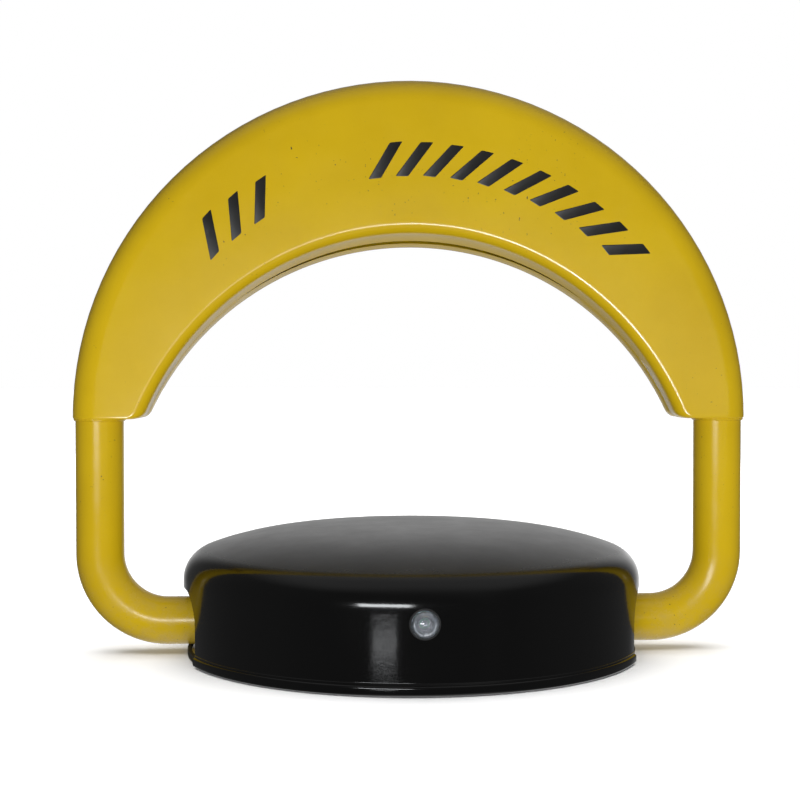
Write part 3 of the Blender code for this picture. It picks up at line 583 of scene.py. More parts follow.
def opening_reach(angle, thinner=0.0):
    """Distance from the arch's centre to the panel's inner edge, at an angle from the X axis."""
    angle = min(angle, pi - angle)
    rise = ARCH_Z - OPENING_Z
    radius = OPENING_R + thinner
    reach = -rise * sin(angle) + sqrt(radius**2 - (rise * cos(angle)) ** 2)
    corner_x = sqrt((OPENING_R + CORNER_R) ** 2 - (rise + CORNER_R) ** 2)
    tangent = radius / (OPENING_R + CORNER_R)
    if angle < atan2((rise + CORNER_R) * tangent - rise, corner_x * tangent):
        toward = corner_x * cos(angle) + CORNER_R * sin(angle)
        inside = toward**2 - corner_x**2 - CORNER_R**2 + (CORNER_R - thinner) ** 2
        reach = toward - sqrt(max(inside, 0.0))
    return reach


def panel_section(angle, thinner, back, edge, rear):
    """One section of the panel, from its back edge round the outer rounding, the face and the inner one.

    The rim of the opening is drafted: it rises from the rear shell's lip to the front shell's."""
    outer = PANEL_R - thinner
    inner = opening_reach(angle, thinner)
    half = PANEL_HALF - thinner
    wide, deep = (size - thinner for size in PANEL_NOSE)
    rise = RIM_RISE * (0.2 + 0.8 * sin(angle))
    lip = PANEL_LIP - thinner
    section = [(outer - edge, back), (outer - edge * 0.3, back - edge * 0.3), (outer, back - edge)]
    section = section if edge else section[2:]
    for across, depth in arc((0, 0), 1.0, 0, 90, 20):
        section.append((outer + wide * (across - 1), deep * (1 - depth) - half))
    for reach, depth in arc((inner + rise * (-0.1 if rear else 0.9) + lip, half - lip), lip, 90, 180, 10):
        section.append((reach, -depth))
    inner += rise * 0.4
    tail = [(inner, back - edge), (inner + edge * 0.3, back - edge * 0.3), (inner + edge, back)]
    section += tail if edge else tail[2:]
    return [(reach * cos(angle), depth, ARCH_Z + reach * sin(angle)) for reach, depth in section]


def panel_solid(thinner, back, first, edge, end_radius, rear):
    """The arch from one lower end to the other, with its ends rounded over by the end radius."""
    near = []
    for i in range(6 if end_radius else 1):
        along = end_radius * (1 - cos(pi / 2 * i / 5))
        inset = end_radius * (1 - sin(pi / 2 * i / 5))
        near.append((first + along / HOOP_HALF, thinner + inset))
    corner = [(first + 0.01 + 0.0045 * i, thinner) for i in range(12)]
    middle = [(radians(3 * i), thinner) for i in range(2, 59)]
    start = near + [spot for spot in corner if spot[0] < middle[0][0] - 0.002]
    stations = start + middle + [(pi - angle, inset) for angle, inset in reversed(start)]
    return skin([panel_section(angle, inset, back, edge, rear) for angle, inset in stations])


def on_arch(turn, reach):
    angle = radians(turn)
    return (reach * cos(angle), 0, ARCH_Z + reach * sin(angle))


def facing(bm, rear):
    """The shape as modelled for the front shell, or with front and back changed over for the rear one."""
    if rear:
        bmesh.ops.scale(bm, vec=(1, -1, 1), verts=bm.verts)
    return bm


def make_shells():
    back = -GAP / 2
    for rear, name in ((False, "arch_front_shell"), (True, "arch_rear_shell")):
        shell = facing(panel_solid(0.0, back, 0.0, 0.0005, PANEL_END_R, rear), rear)
        hollow = facing(panel_solid(PANEL_WALL, back + 0.01, PANEL_WALL / PANEL_R, 0.0, 0.0, rear), rear)
        shell = combine(shell, hollow)
        legs = [rod(TUBE_R + 0.0004, 0.195, 0.22, (side * HOOP_HALF, 0, 0)) for side in (-1, 1)]
        shell = combine(shell, merge(*legs))
        front = PANEL_WALL - PANEL_HALF - 0.0003
        posts = [rod(0.005, front, back, on_arch(*spot), "Y", 24) for spot in SCREW_SPOTS]
        shell = combine(shell, facing(merge(*posts), rear), "UNION")
        deep = -PANEL_HALF - 0.01 if rear else 0.0025 - PANEL_HALF
        bore_r = 0.0024 if rear else 0.0019
        bores = [rod(bore_r, deep, 0.01, on_arch(*spot), "Y", 24) for spot in SCREW_SPOTS]
        shell = combine(shell, facing(merge(*bores), rear))
        fine(name, shell, YELLOW, "hoop", 30)


def make_rear_screws():
    face = PANEL_HALF + GAP
    rim, rim_r, rise = face + 0.0003, 0.0044, 0.0023
    profile = [(0, -0.01), (0.0012, -0.01), (0.0016, -0.009), (0.0016, face), (0.0042, face), (rim_r, rim)]
    for a in (radians(turn) for turn in range(8, 90, 8)):
        profile.append((rim_r * cos(a), rim + rise * sin(a)))
    profile.append((0, face + 0.0026))
    for number, spot in enumerate(SCREW_SPOTS, 1):
        x, _, z = on_arch(*spot)
        screw = turned(profile, (x, 0, z), "Y", 40)
        for w, h in ((0.0022, 0.0005), (0.0005, 0.0022)):
            screw = combine(screw, box((x - w, face + 0.0012, z - h), (x + w, face + 0.004, z + h)))
        fine(f"rear_screw_{number}", screw, ZINC, "hoop")


def make_hazard_bars():
    """Slanted black bars in two groups along the front of the arch."""
    pitch = radians(6.4)
    groups = ((radians(137.6), 3), (radians(96), 10))
    starts = [first - pitch * i for first, count in groups for i in range(count)]
    half_high, half_wide, slant, corner = 0.015, 0.0056, 0.011, 0.0012
    face = -PANEL_HALF - 0.00002
    bars = []
    for angle in starts:
        middle = (opening_reach(angle) + PANEL_R) / 2 + 0.001
        out = Vector((cos(angle), 0, sin(angle)))
        across = Vector((sin(angle), 0, -cos(angle)))
        outline = [(-half_wide - slant, -half_high), (half_wide - slant, -half_high)]
        outline += [(half_wide + slant, half_high), (-half_wide + slant, half_high)]
        outline = rounded_loop(outline, corner, 3)
        at = Vector((0, 0, ARCH_Z)) + out * middle
        rings = []
        for depth, inset in ((face, 0.0), (face - 0.00012, 0.0), (face - 0.00018, 0.00006)):
            keep, back = 1 - inset / half_wide, Vector((0, depth, 0))
            rings.append([at + across * (u * keep) + out * (v * keep) + back for u, v in outline])
        bars.append(skin(rings))
    add("hazard_bars", merge(*bars), FILM, "hoop")


# ---- cover


def cover_profile(thinner, steps):
    """(radius, height) from the middle of the dome down to the foot, for the outer face or the inner one."""
    radius = COVER_R - thinner
    shoulder = SHOULDER_R - thinner
    edge_r = radius - shoulder + shoulder * sin(SHOULDER_SLOPE)
    edge_z = SHOULDER_Z + shoulder * cos(SHOULDER_SLOPE)
    top = COVER_TOP - thinner
    power = tan(SHOULDER_SLOPE) * edge_r / (top - edge_z)
    dome = []
    for i in range(steps):
        reach = edge_r * (i / steps) ** 0.8
        dome.append((reach, edge_z + (top - edge_z) * (1 - (reach / edge_r) ** power)))
    bend = arc((radius - shoulder, SHOULDER_Z), shoulder, 90 - degrees(SHOULDER_SLOPE), 0, steps // 2)
    return dome + bend


def make_cover():
    roll = HEM_OUT * 1.4
    hem = [(COVER_R, SHOULDER_Z - 0.003), (COVER_R, HEM_H + 0.006), (COVER_R, HEM_H + 0.0024)]
    hem += arc((COVER_R + 0.0008, HEM_H + 0.0022), 0.0008, 180, 250, 4)
    hem += arc((COVER_R + HEM_OUT - roll, HEM_H - roll), roll, 70, 0, 8)
    hem += arc((COVER_R + HEM_OUT - roll, COVER_FOOT + roll), roll, 0, -90, 6)
    hem += [(COVER_R - SHEET + 0.0006, COVER_FOOT), (COVER_R - SHEET, COVER_FOOT + 0.0006)]
    profile = cover_profile(0.0, 24) + hem + cover_profile(SHEET, 14)[::-1]
    shell = turned(profile, sides=240)
    edge = NOTCH_HALF - NOTCH_R
    notch = [(-NOTCH_HALF, -0.02), (NOTCH_HALF, -0.02)]
    notch += arc((edge, NOTCH_TOP - NOTCH_R), NOTCH_R, 0, 90, 20)
    notch += arc((-edge, NOTCH_TOP - NOTCH_R), NOTCH_R, 90, 180, 20)
    shell = combine(shell, extruded(notch, "X", -0.25, 0.25))
    holes = [rod(0.01, -0.22, -0.18, (0, 0, LENS_Z), "Y"), rod(0.01, 0.18, 0.22, (0, 0, LOCK_Z), "Y")]
    shell = combine(shell, merge(*holes))
    fine("cover", shell, BLACK, "cover", 30)


def make_lens():
    at = (0, 0, LENS_Z)
    face = -COVER_R - GAP
    seat = face - 0.001 - GAP
    gasket = [(0.01, face), (0.0122, face), (0.0124, face - 0.0005)]
    gasket += [(0.012, face - 0.001), (0.01, face - 0.001)]
    fine("lens_gasket", turned(gasket, at, "Y"), RUBBER, "cover")
    rim = seat - 0.0008
    dome = [(0, seat - 0.0078)]
    for a in (radians(6 * i) for i in range(1, 16)):
        dome.append((0.0106 * sin(a), rim - 0.007 * cos(a)))
    stem = [(0.0108, seat - 0.0006), (0.0108, seat), (0.0097, seat), (0.0097, -0.19), (0.0078, -0.19)]
    inside = [(0.0078, seat - 0.0005)]
    for a in (radians(10 * i) for i in range(1, 9)):
        inside.append((0.007 * cos(a), rim - 0.005 * sin(a)))
    inside.append((0, seat - 0.006))
    fine("indicator_lens", turned(dome + stem + inside, at, "Y", 72), LENS, "cover", 50)


# ---- base plate and bearings


FLOOR = PLATE_T + GAP


def on_axis(x=0.0):
    return (x, 0, AXIS_Z)


def mirrored(flank):
    """A flank's points again on the other side, in the order that carries an outline on."""
    return [(-u, v) for u, v in reversed(flank)]


def four_spots(x, y):
    return [(-x, -y), (-x, y), (x, -y), (x, y)]


def bored(bm, *cutters):
    """The shape with all the cutters taken from it."""
    return combine(bm, merge(*cutters))


def sunk(radius, top, at, edge=0.0006, low=-0.01):
    """A drill for a hole with a broken edge at its top."""
    wide = radius + 2 * edge
    profile = [(0, low), (radius, low), (radius, top - edge), (wide, top + edge), (0, top + edge)]
    return turned(profile, at, "Z", 40)


def hex_bolt(shank, head, seat, top, start, at):
    """A hexagon bolt with a washer face under its head and a chamfered top."""
    rim = head * 0.87
    profile = [(0, start), (shank - 0.0004, start), (shank, start + 0.0005), (shank, seat)]
    profile += [(rim, seat), (rim, seat + 0.0003), (head, seat + 0.0003), (head, top - 0.0009)]
    profile += [(rim * 0.98, top), (0, top)]
    return turned(profile, at, "Z", 60, hexagon=(6, 7))


def make_plate():
    plate = rod(PLATE_R, 0, PLATE_T, sides=240, edge=0.0007)
    holes = [sunk(0.0065, PLATE_T, (*spot, 0)) for spot in four_spots(*ANCHOR_SPOT)]
    holes += [sunk(0.0043, PLATE_T, (*spot, 0)) for spot in four_spots(*BOLT_SPOT)]
    fine("base_plate", bored(plate, *holes), ZINC)
    low, high, near, far = 0.0006, 0.0066, PLATE_R + GAP, PLATE_R + 0.0036
    lip = [(near, low), (far - 0.0006, low), (far, low + 0.0006), (far, 0.002), (far - 0.0007, 0.0028)]
    lip += [(far, 0.0036), (far, high - 0.0006), (far - 0.0006, high), (near, high)]
    fine("cover_seal", turned(lip, sides=240), RUBBER)


def make_bearings():
    half, foot_half, foot_top, crown, corner = 0.012, 0.042, 0.013, 0.0215, 0.003
    flank = arc((foot_half - corner, foot_top - corner), corner, 0, 90, 5)
    flank += arc((crown + corner, foot_top + corner), corner, 270, 180, 5)
    outline = [(-foot_half, FLOOR), (foot_half, FLOOR)] + flank + arc((0, AXIS_Z), crown, 0, 180, 36)
    outline += mirrored(flank)
    for side, label in SIDES:
        middle = side * BOLT_SPOT[0]
        block = pressed(outline, "X", middle - half, middle + half, 0.0007)
        drills = [rod(0.0158, middle - 0.03, middle + 0.03, on_axis(), "X")]
        drills += [sunk(0.0043, foot_top, (middle, y, 0), 0.0003, 0) for y in (-BOLT_SPOT[1], BOLT_SPOT[1])]
        fine(f"bearing_block_{label}", bored(block, *drills), CAST)
        nipple = [(0, 0.0485), (0.003, 0.0485), (0.003, 0.0515), (0.0018, 0.052), (0.0015, 0.0532)]
        nipple += [(0.0022, 0.054), (0.0022, 0.0548), (0.0012, 0.0556), (0, 0.0556)]
        add(f"grease_nipple_{label}", turned(nipple, (middle, 0, 0), "Z", 36, hexagon=(1, 2)), BRASS)
        inner, flange = middle - side * half, middle + side * (half + GAP)
        outer = flange + side * 0.002
        edge, rim = side * 0.0005, side * 0.0004
        profile = [(0.0124, inner + edge), (0.0128, inner), (0.0151, inner), (0.0155, inner + edge)]
        profile += [(0.0155, flange), (0.0187, flange), (0.019, flange + rim)]
        profile += [(0.019, outer - rim), (0.0186, outer), (0.0129, outer), (0.0124, outer - edge)]
        fine(f"bearing_bush_{label}", turned(profile, on_axis(), "X"), BRONZE)
    for number, spot in enumerate(four_spots(*BOLT_SPOT), 1):
        bolt = hex_bolt(0.0039, 0.0075, 0.0133, 0.0186, 0.0006, (*spot, 0))
        fine(f"bearing_bolt_{number}", bolt, ZINC)


# ---- shaft, gears, spring


SHAFT_R = 0.012
PIN_X = 0.147
SHAFT_HALF = 0.166
PINION_Y = -0.03
PINION_AT = (0, PINION_Y, AXIS_Z)
TANG_AT = (0, 0, AXIS_Z + 0.015)
MAGNET_X = -0.054


def pin_hole(side):
    return rod(0.0043, -0.03, 0.03, on_axis(side * PIN_X), "Y", 40)


def make_shaft():
    bar = rod(SHAFT_R, -SHAFT_HALF, SHAFT_HALF, on_axis(), "X", 96, 0.0012)
    pins = [pin_hole(-1), pin_hole(1)]
    centres = [rod(0.0022, x - 0.004, x + 0.004, on_axis(), "X", 24) for x in (-SHAFT_HALF, SHAFT_HALF)]
    fine("main_shaft", bored(bar, *pins, *centres), STEEL, "hoop")
    for side, label in SIDES:
        ends = sorted((side * (TUBE_END + 0.0005), side * SHAFT_HALF))
        plug = ring(SHAFT_R + GAP, 0.01745, *ends, on_axis(), "X", 96, 0.0008)
        fine(f"tube_plug_{label}", bored(plug, pin_hole(side)), ZINC, "hoop")
        pin = rod(0.004, -0.0204, 0.0204, on_axis(side * PIN_X), "Y", 40, 0.0009)
        fine(f"cross_pin_{label}", pin, STEEL, "hoop")
    tang = rod(0.0022, 0.079, 0.093, TANG_AT, "X", 32)
    striker = bored(ring(SHAFT_R + GAP, 0.02, 0.0815, 0.0895, on_axis(), "X", 96, 0.0009), tang)
    fine("striker_collar", striker, DARK_STEEL, "hoop")
    collar = ring(SHAFT_R + GAP, 0.019, -0.06, -0.048, on_axis(), "X", 96, 0.0012)
    seats = [rod(0.003, *ends, (MAGNET_X, 0, 0), "Z", 36) for ends in ((0.0445, 0.06), (0.0, 0.0115))]
    fine("magnet_collar", bored(collar, *seats), BLACK_PLASTIC, "hoop")
    for label, low in (("up", 0.0446), ("down", 0.0094)):
        magnet = rod(0.0029, low, low + 0.002, (MAGNET_X, 0, 0), "Z", 36, 0.0003)
        add(f"magnet_{label}", magnet, CHROME, "hoop")


def gear_blank(teeth, start, end, centre, phase):
    """A spur gear with curved flanks, in the place and the phase of the one in the frame."""
    module = 0.0015
    pitch_r = module * teeth / 2
    root, tip = pitch_r - 1.22 * module, pitch_r + 0.97 * module
    outline = []
    for i in range(teeth):
        middle = 2 * pi * (i + phase) / teeth
        flank = [(root, 1.05), (root + 0.4 * module, 0.89), (pitch_r, 0.68)]
        flank += [(pitch_r + 0.5 * module, 0.5), (tip, 0.3)]
        flank = [(r, half * module / r) for r, half in flank]
        turns = [(r, middle - a) for r, a in flank] + [(r, middle + a) for r, a in reversed(flank)]
        outline += [(centre[0] + r * cos(a), centre[1] + r * sin(a)) for r, a in turns]
    return bevelled(extruded(outline, "X", start, end), 0.00025, 1, 60)


def make_gears():
    wheel = gear_blank(26, 0.03, 0.044, (0, AXIS_Z), 0.0)
    cuts = [rod(SHAFT_R + GAP, 0.02, 0.06, on_axis(), "X", 96), rod(0.0022, 0.036, 0.06, TANG_AT, "X", 32)]
    fine("drive_gear", bored(wheel, *cuts), CUT_STEEL, "drive", 25)
    small = gear_blank(14, 0.03, 0.044, (PINION_Y, AXIS_Z), 0.5)
    small = bored(small, rod(0.0053, 0.02, 0.06, PINION_AT, "X", 48))
    fine("pinion", small, DARK_STEEL, "output", 25)
    stub = rod(0.005, -0.006, 0.0475, PINION_AT, "X", 48, 0.0007)
    flat = box((0.045, PINION_Y + 0.0038, AXIS_Z - 0.006), (0.06, PINION_Y + 0.008, AXIS_Z + 0.006))
    fine("output_shaft", combine(stub, flat), STEEL, "output")


def tube_along(points, radius, sides=20):
    """A round bar along a list of points, its sections turned without twisting."""
    points = [Vector(point) for point in points]
    rings = []
    side = None
    for i, point in enumerate(points):
        ahead = (points[min(i + 1, len(points) - 1)] - points[max(i - 1, 0)]).normalized()
        if side is None:
            side = ahead.orthogonal().normalized()
        side = (side - ahead * side.dot(ahead)).normalized()
        other = ahead.cross(side)
        rings.append([point + radius * (side * cos(a) + other * sin(a))
                      for a in (2 * pi * k / sides for k in range(sides))])
    return skin(rings)


def make_spring():
    start, end, mean, turns, per_turn = 0.049, 0.078, 0.015, 5, 40
    points = [(0.0392 + 0.001 * i, 0, mean) for i in range(9)]
    steps = turns * per_turn
    for i in range(steps + 1):
        angle = 2 * pi * i / per_turn
        x = start + (end - start) * i / steps
        points.append((x, -mean * sin(angle), mean * cos(angle)))
    points += [(0.0798 + 0.001 * i, 0, mean) for i in range(7)]
    coil = tube_along([(x, y, AXIS_Z + z) for x, y, z in points], 0.0018, 24)
    twisted = ("drive", "hoop", on_axis(start + 0.001), on_axis(end - 0.001))
    fine("buffer_spring", coil, STEEL, twisted, 50)


# ---- gearmotor


MOTOR_AT = (-0.003, 0, 0.048)


def cap_screw(radius, seat, high, at, along="Z"):
    """A socket cap screw: a round head with a hexagon socket."""
    edge = 0.0003 if high > 0 else -0.0003
    profile = [(0, seat), (radius, seat), (radius, seat + high - edge), (radius - 0.0003, seat + high)]
    profile += [(radius * 0.55, seat + high), (radius * 0.55, seat + high * 0.4), (0, seat + high * 0.4)]
    return turned(profile, at, along, 36, hexagon=(4, 5))


def add_screws(name, look, radius, seat, high, spots, along="Z"):
    """One piece that holds all the cap screws at the given spots."""
    add(name, merge(*[cap_screw(radius, seat, high, spot, along) for spot in spots]), look)


def make_gearmotor():
    front, rear = -0.0605, -0.0145
    case = box((-0.028, front, FLOOR), (0.022, rear, 0.066), 0.003, 4)
    collar = ring(0.0105, 0.0125, 0.0218, 0.0232, PINION_AT, "X", 64, 0.0004)
    boss = rod(0.0095, 0.015, 0.0275, PINION_AT, "X", 64, 0.0008)
    ribs = []
    for x in (-0.024 + 0.0105 * i for i in range(5)):
        ribs.append(box((x, front + 0.004, 0.0655), (x + 0.0025, rear - 0.004, 0.0675), 0.0005))
    for z in (0.015, 0.029, 0.043, 0.057):
        ribs.append(box((-0.0245, rear - 0.0005, z), (0.0185, rear + 0.0012, z + 0.0022), 0.0004))
    for raised in (merge(*ribs), collar, boss):
        case = combine(case, raised, "UNION")
    case = bored(case, rod(0.0053, -0.01, 0.04, PINION_AT, "X", 48))
    fine("gearbox_housing", case, CAST)
    lid = box((-0.0318, front + 0.002, FLOOR + 0.002), (-0.0283, rear - 0.002, 0.064), 0.0012)
    spots = [(0, y, z) for y in (front + 0.0075, rear - 0.0075) for z in (0.0125, 0.0357, 0.0585)]
    seats = [rod(0.003, -0.04, -0.0309, spot, "X", 32) for spot in spots]
    fine("gearbox_lid", bored(lid, *seats), CAST)
    add_screws("gearbox_lid_screws", DARK_STEEL, 0.0027, -0.0308, -0.0022, spots, "X")
    back, near = -0.125, -0.0608
    can = [(0, back), (0.0166, back), (0.0172, back + 0.0004), (0.0172, back + 0.003)]
    can += [(0.018, back + 0.0038), (0.018, near - 0.0052), (0.0175, near - 0.0046)]
    can += [(0.0175, near - 0.0006), (0.0169, near), (0, near)]
    body = turned(can, MOTOR_AT, "Y", 96)
    vents = []
    for i in range(6):
        angle = radians(60 * i + 15)
        slot = box((-0.0016, -0.117, 0.0172), (0.0016, -0.1115, 0.03), 0.0006)
        bmesh.ops.rotate(slot, verts=slot.verts, cent=(0, 0, 0), matrix=Matrix.Rotation(angle, 3, "Y"))
        bmesh.ops.translate(slot, verts=slot.verts, vec=MOTOR_AT)
        vents.append(slot)
    fine("motor_can", bored(body, *vents), DARK_STEEL)
    cap = [(0, -0.1365), (0.0056, -0.1365), (0.006, -0.1361), (0.006, -0.1325), (0.015, -0.1325)]
    cap += [(0.016, -0.1321), (0.0172, -0.1308), (0.0172, back - GAP), (0, back - GAP)]
    fine("motor_end_cap", turned(cap, MOTOR_AT, "Y", 96), BLACK_PLASTIC)
    tabs = [box((x - 0.0022, -0.1355, 0.041), (x + 0.0022, -0.13, 0.0418), 0.0002) for x in (-0.011, 0.005)]
    add("motor_tabs", merge(*tabs), BRASS)
    wide, narrow, low = 0.024, 0.014, 0.0085
    rest = arc((0, MOTOR_AT[2]), 0.0183, -45, -135, 40)
    flank = [(wide, low), (narrow + 0.001, low), (narrow, low + 0.001), (narrow, rest[0][1])]
    cradle = [(-wide, FLOOR), (wide, FLOOR)] + flank + rest + mirrored(flank)
    saddle = pressed([(MOTOR_AT[0] + u, v) for u, v in cradle], "Y", -0.112, -0.098, 0.0005)
    fine("motor_saddle", saddle, BLACK_PLASTIC)
    spots = [(MOTOR_AT[0] + x, -0.105, 0) for x in (-0.0188, 0.0188)]
    add_screws("saddle_screws", ZINC, 0.0028, low + 0.0001, 0.0022, spots)


# ---- battery, control box, sensors, leads


def make_battery():
    low, high = (-0.0755, 0.048, FLOOR), (0.0755, 0.142, FLOOR + 0.065)
    case = box(low, high, 0.0028, 5)
    seam = box((-0.09, 0.03, 0.0592), (0.09, 0.16, 0.0598))
    keep = box((-0.0748, 0.0487, 0.055), (0.0748, 0.1413, 0.065))
    case = combine(case, combine(seam, keep))
    slots = [box((x, 0.06, 0.0699), (x + 0.02, 0.13, 0.071), 0.0003) for x in (-0.064, 0.044)]
    case = bored(case, *slots)
    fine("battery_case", case, BLACK_PLASTIC)
    vents = [rod(0.0042, 0.0697, 0.07, (x, 0.066 + 0.0115 * i, 0), "Z", 32, 0.0002)
             for x in (-0.054, 0.054) for i in range(6)]
    add("battery_vent_caps", merge(*vents), GREY_PLASTIC)
    for side, label, band in ((-1, "minus", BLACK_LEAD), (1, "plus", RED_LEAD)):
        x, face = side * 0.06, 0.048 - GAP
        tab = box((x - 0.0033, face - 0.0065, 0.0515), (x + 0.0033, face, 0.0585), 0.0008)
        tab = bevelled(combine(tab, rod(0.0012, -0.01, 0.1, (x, 0, 0.055), "Y", 24)), 0.0001, 1)
        fine(f"battery_terminal_{label}", tab, BRASS)
        collar = ring(0.0044, 0.0058, face - 0.0012, face, (x, 0, 0.055), "Y", 40, 0.0003)
        add(f"terminal_ring_{label}", collar, band)
    near, far, top, thick, foot = 0.0477, 0.1423, high[2] + GAP, 0.002, 0.017
    outer = [(near - foot, FLOOR), (near, FLOOR), (near, top), (far, top), (far, FLOOR), (far + foot, FLOOR)]
    outer += [(far + foot, FLOOR + thick), (far + thick, FLOOR + thick), (far + thick, top + thick)]
    outer += [(near - thick, top + thick), (near - thick, FLOOR + thick), (near - foot, FLOOR + thick)]
    strap = pressed(rounded_loop(outer, 0.0009, 4), "X", -0.0125, 0.0125)
    bolts = [(y, number) for number, y in enumerate((near - 0.0095, far + 0.0095), 1)]
    strap = bored(strap, *[rod(0.0034, 0, 0.02, (0, y, 0), "Z", 32) for y, _ in bolts])
    fine("battery_strap", strap, ZINC)
    head = FLOOR + thick + GAP
    for y, number in bolts:
        bolt = hex_bolt(0.0028, 0.0055, head, head + 0.004, 0.0046, (0, y, 0))
        fine(f"strap_bolt_{number}", bolt, ZINC)


CONTROL_LOW, CONTROL_HIGH = Vector((0.045, -0.135, FLOOR)), Vector((0.105, -0.05, 0.036))


def make_control_box():
    low, high = CONTROL_LOW, CONTROL_HIGH
    case = box(low, high, 0.0025, 4)
    for wall, floor in ((0.002, 0.0145), (0.004, low.z + 0.002)):
        case = combine(case, box((low.x + wall, low.y + wall, floor), (high.x - wall, high.y - wall, 0.05)))
    fine("control_box", case, GREY_PLASTIC)
    behind = high.y + 0.002
    glands = [ring(0.0024, 0.0046, -0.0018, 0.0, (x, behind, 0.028), "Y", 36, 0.0004) for x in (0.066, 0.078)]
    glands.append(ring(0.0027, 0.0048, low.x - 0.0019, low.x - 0.0001, (0, -0.106, 0.021), "X", 36, 0.0004))
    add("lead_glands", merge(*glands), RUBBER)
    over, top = 0.001, high.z + 0.004
    lid = box((low.x - over, low.y - over, high.z + GAP), (high.x + over, high.y + over, top), 0.0012, 4)
    spots = [(x, y, 0) for x in (low.x + 0.005, high.x - 0.005) for y in (low.y + 0.005, high.y - 0.005)]
    cuts = [rod(0.003, high.z + 0.0024, 0.05, spot, "Z", 32) for spot in spots]
    for i in range(9):
        vent = low.y + 0.006 * i
        cuts.append(box((0.06, vent + 0.018, high.z + 0.0032), (0.09, vent + 0.0205, 0.05), 0.0008))
    fine("control_box_lid", bored(lid, *cuts), GREY_PLASTIC)
    add_screws("control_lid_screws", ZINC, 0.0026, high.z + 0.0025, 0.0013, spots)


def make_board():
    """The circuit board with chips, relays, capacitors and a terminal block."""
    low, high, inset, z = CONTROL_LOW, CONTROL_HIGH, 0.0023, 0.0148
    top = z + 0.0016
    board = box((low.x + inset, low.y + inset, z), (high.x - inset, high.y - inset, top), 0.0002, 1)
    fine("circuit_board", board, BOARD)
    top += 0.0001
    chips = [(0.06, -0.112, 0.012, 0.012, 0.0016), (0.084, -0.084, 0.008, 0.01, 0.0018)]
    chips.append((0.062, -0.07, 0.006, 0.005, 0.0015))
    dark = [box((x, y, top), (x + w, y + d, top + h), 0.0003) for x, y, w, d, h in chips]
    for start, end in ((-0.124, -0.106), (-0.103, -0.087)):
        dark.append(box((0.083, start, top), (0.099, end, top + 0.012), 0.0008))
    add("board_parts", merge(*dark), BLACK_PLASTIC)
    pins = []
    for x, y, w, d, _ in chips:
        count = int(d / 0.0013)
        for level in (y + d * (i + 0.5) / count for i in range(count)):
            for side in (x - 0.0009, x + w):
                pins.append(box((side, level - 0.0002, top), (side + 0.0009, level + 0.0002, top + 0.0004)))
    add("board_pins", merge(*pins), ZINC)
    cans = []
    spots = [(x, -0.0845, 0.004, 0.0105) for x in (0.0555, 0.065)] + [(0.075, -0.064, 0.0031, 0.0085)]
    for x, y, r, h in spots:
        can = [(0, top), (r, top), (r, top + 0.0008), (r - 0.0002, top + 0.0011), (r, top + 0.0014)]
        can += [(r, top + h - 0.0003), (r - 0.0004, top + h), (0, top + h)]
        cans.append(turned(can, (x, y, 0), "Z", 40))
    add("board_capacitors", merge(*cans), CHROME)
    starts = [0.0605 + 0.0064 * i for i in range(4)]
    blocks = [box((x, -0.0625, top), (x + 0.006, -0.0545, top + 0.0085), 0.0005) for x in starts]
    screw_holes = [rod(0.0018, top + 0.007, 0.04, (x + 0.003, -0.059, 0), "Z", 24) for x in starts]
    add("board_terminal_block", bored(merge(*blocks), *screw_holes), GREY_PLASTIC)


def make_buzzer():
    """The alarm's round can, with a groove round its foot and a ring of sound holes."""
    r, top, x, y = 0.017, 0.0265, -0.075, -0.1
    horn = [(0, FLOOR), (r, FLOOR), (r, FLOOR + 0.002), (r - 0.0007, FLOOR + 0.0026)]
    horn += [(r - 0.0007, FLOOR + 0.0032), (r, FLOOR + 0.0038), (r, top - 0.0025)]
    horn += [(r - 0.0007, top - 0.0008), (r - 0.0022, top), (0.0046, top), (0.0038, top - 0.0006)]
    horn += [(0.0035, top - 0.003), (0, top - 0.003)]
    holes = []
    for a in (radians(30 * i) for i in range(12)):
        at = (x + 0.0095 * cos(a), y + 0.0095 * sin(a), 0)
        holes.append(rod(0.0009, top - 0.0015, 0.04, at, "Z", 16))
    fine("alarm_buzzer", bored(turned(horn, (x, y, 0), "Z", 96), *holes), BLACK_PLASTIC)


def make_sensors():
    near, far, thick, top = 0.024, 0.04, 0.002, 0.05
    outline = [(near, FLOOR), (far, FLOOR), (far, FLOOR + thick)]
    outline += arc((near + thick + 0.002, FLOOR + thick + 0.002), 0.002, 270, 180, 6)
    outline += [(near + thick, top), (near, top)]
    plate = pressed(outline, "X", -0.064, -0.044)
    spots = [(x, 0.0345, 0) for x in (-0.06, -0.048)]
    fine("sensor_bracket", bored(plate, *[rod(0.0016, 0, 0.1, spot, "Z", 24) for spot in spots]), ZINC)
    add_screws("bracket_screws", DARK_STEEL, 0.0026, FLOOR + thick + 0.0001, 0.002, spots)
    for label, z in (("up", AXIS_Z + 0.012), ("down", AXIS_Z - 0.012)):
        body = box((-0.059, near - 0.0035, z - 0.005), (-0.049, near - GAP, z + 0.005), 0.0006)
        body = combine(body, rod(0.0014, 0.015, near - 0.0031, (MAGNET_X, 0, z), "Y", 24))
        fine(f"position_sensor_{label}", body, BLACK_PLASTIC)


def smooth_route(points, per_leg=8):
    """A Catmull-Rom curve through the route's own points."""
    route = [2 * Vector(points[0]) - Vector(points[1])] + [Vector(point) for point in points]
    route.append(2 * Vector(points[-1]) - Vector(points[-2]))
    made = []
    for a, b, c, d in zip(route, route[1:], route[2:], route[3:]):
        for i in range(per_leg):
            t = i / per_leg
            curved = (2 * a - 5 * b + 4 * c - d) * t**2 + (3 * b - a - 3 * c + d) * t**3
            made.append(0.5 * (2 * b + (c - a) * t + curved))
    return made + [route[-2]]


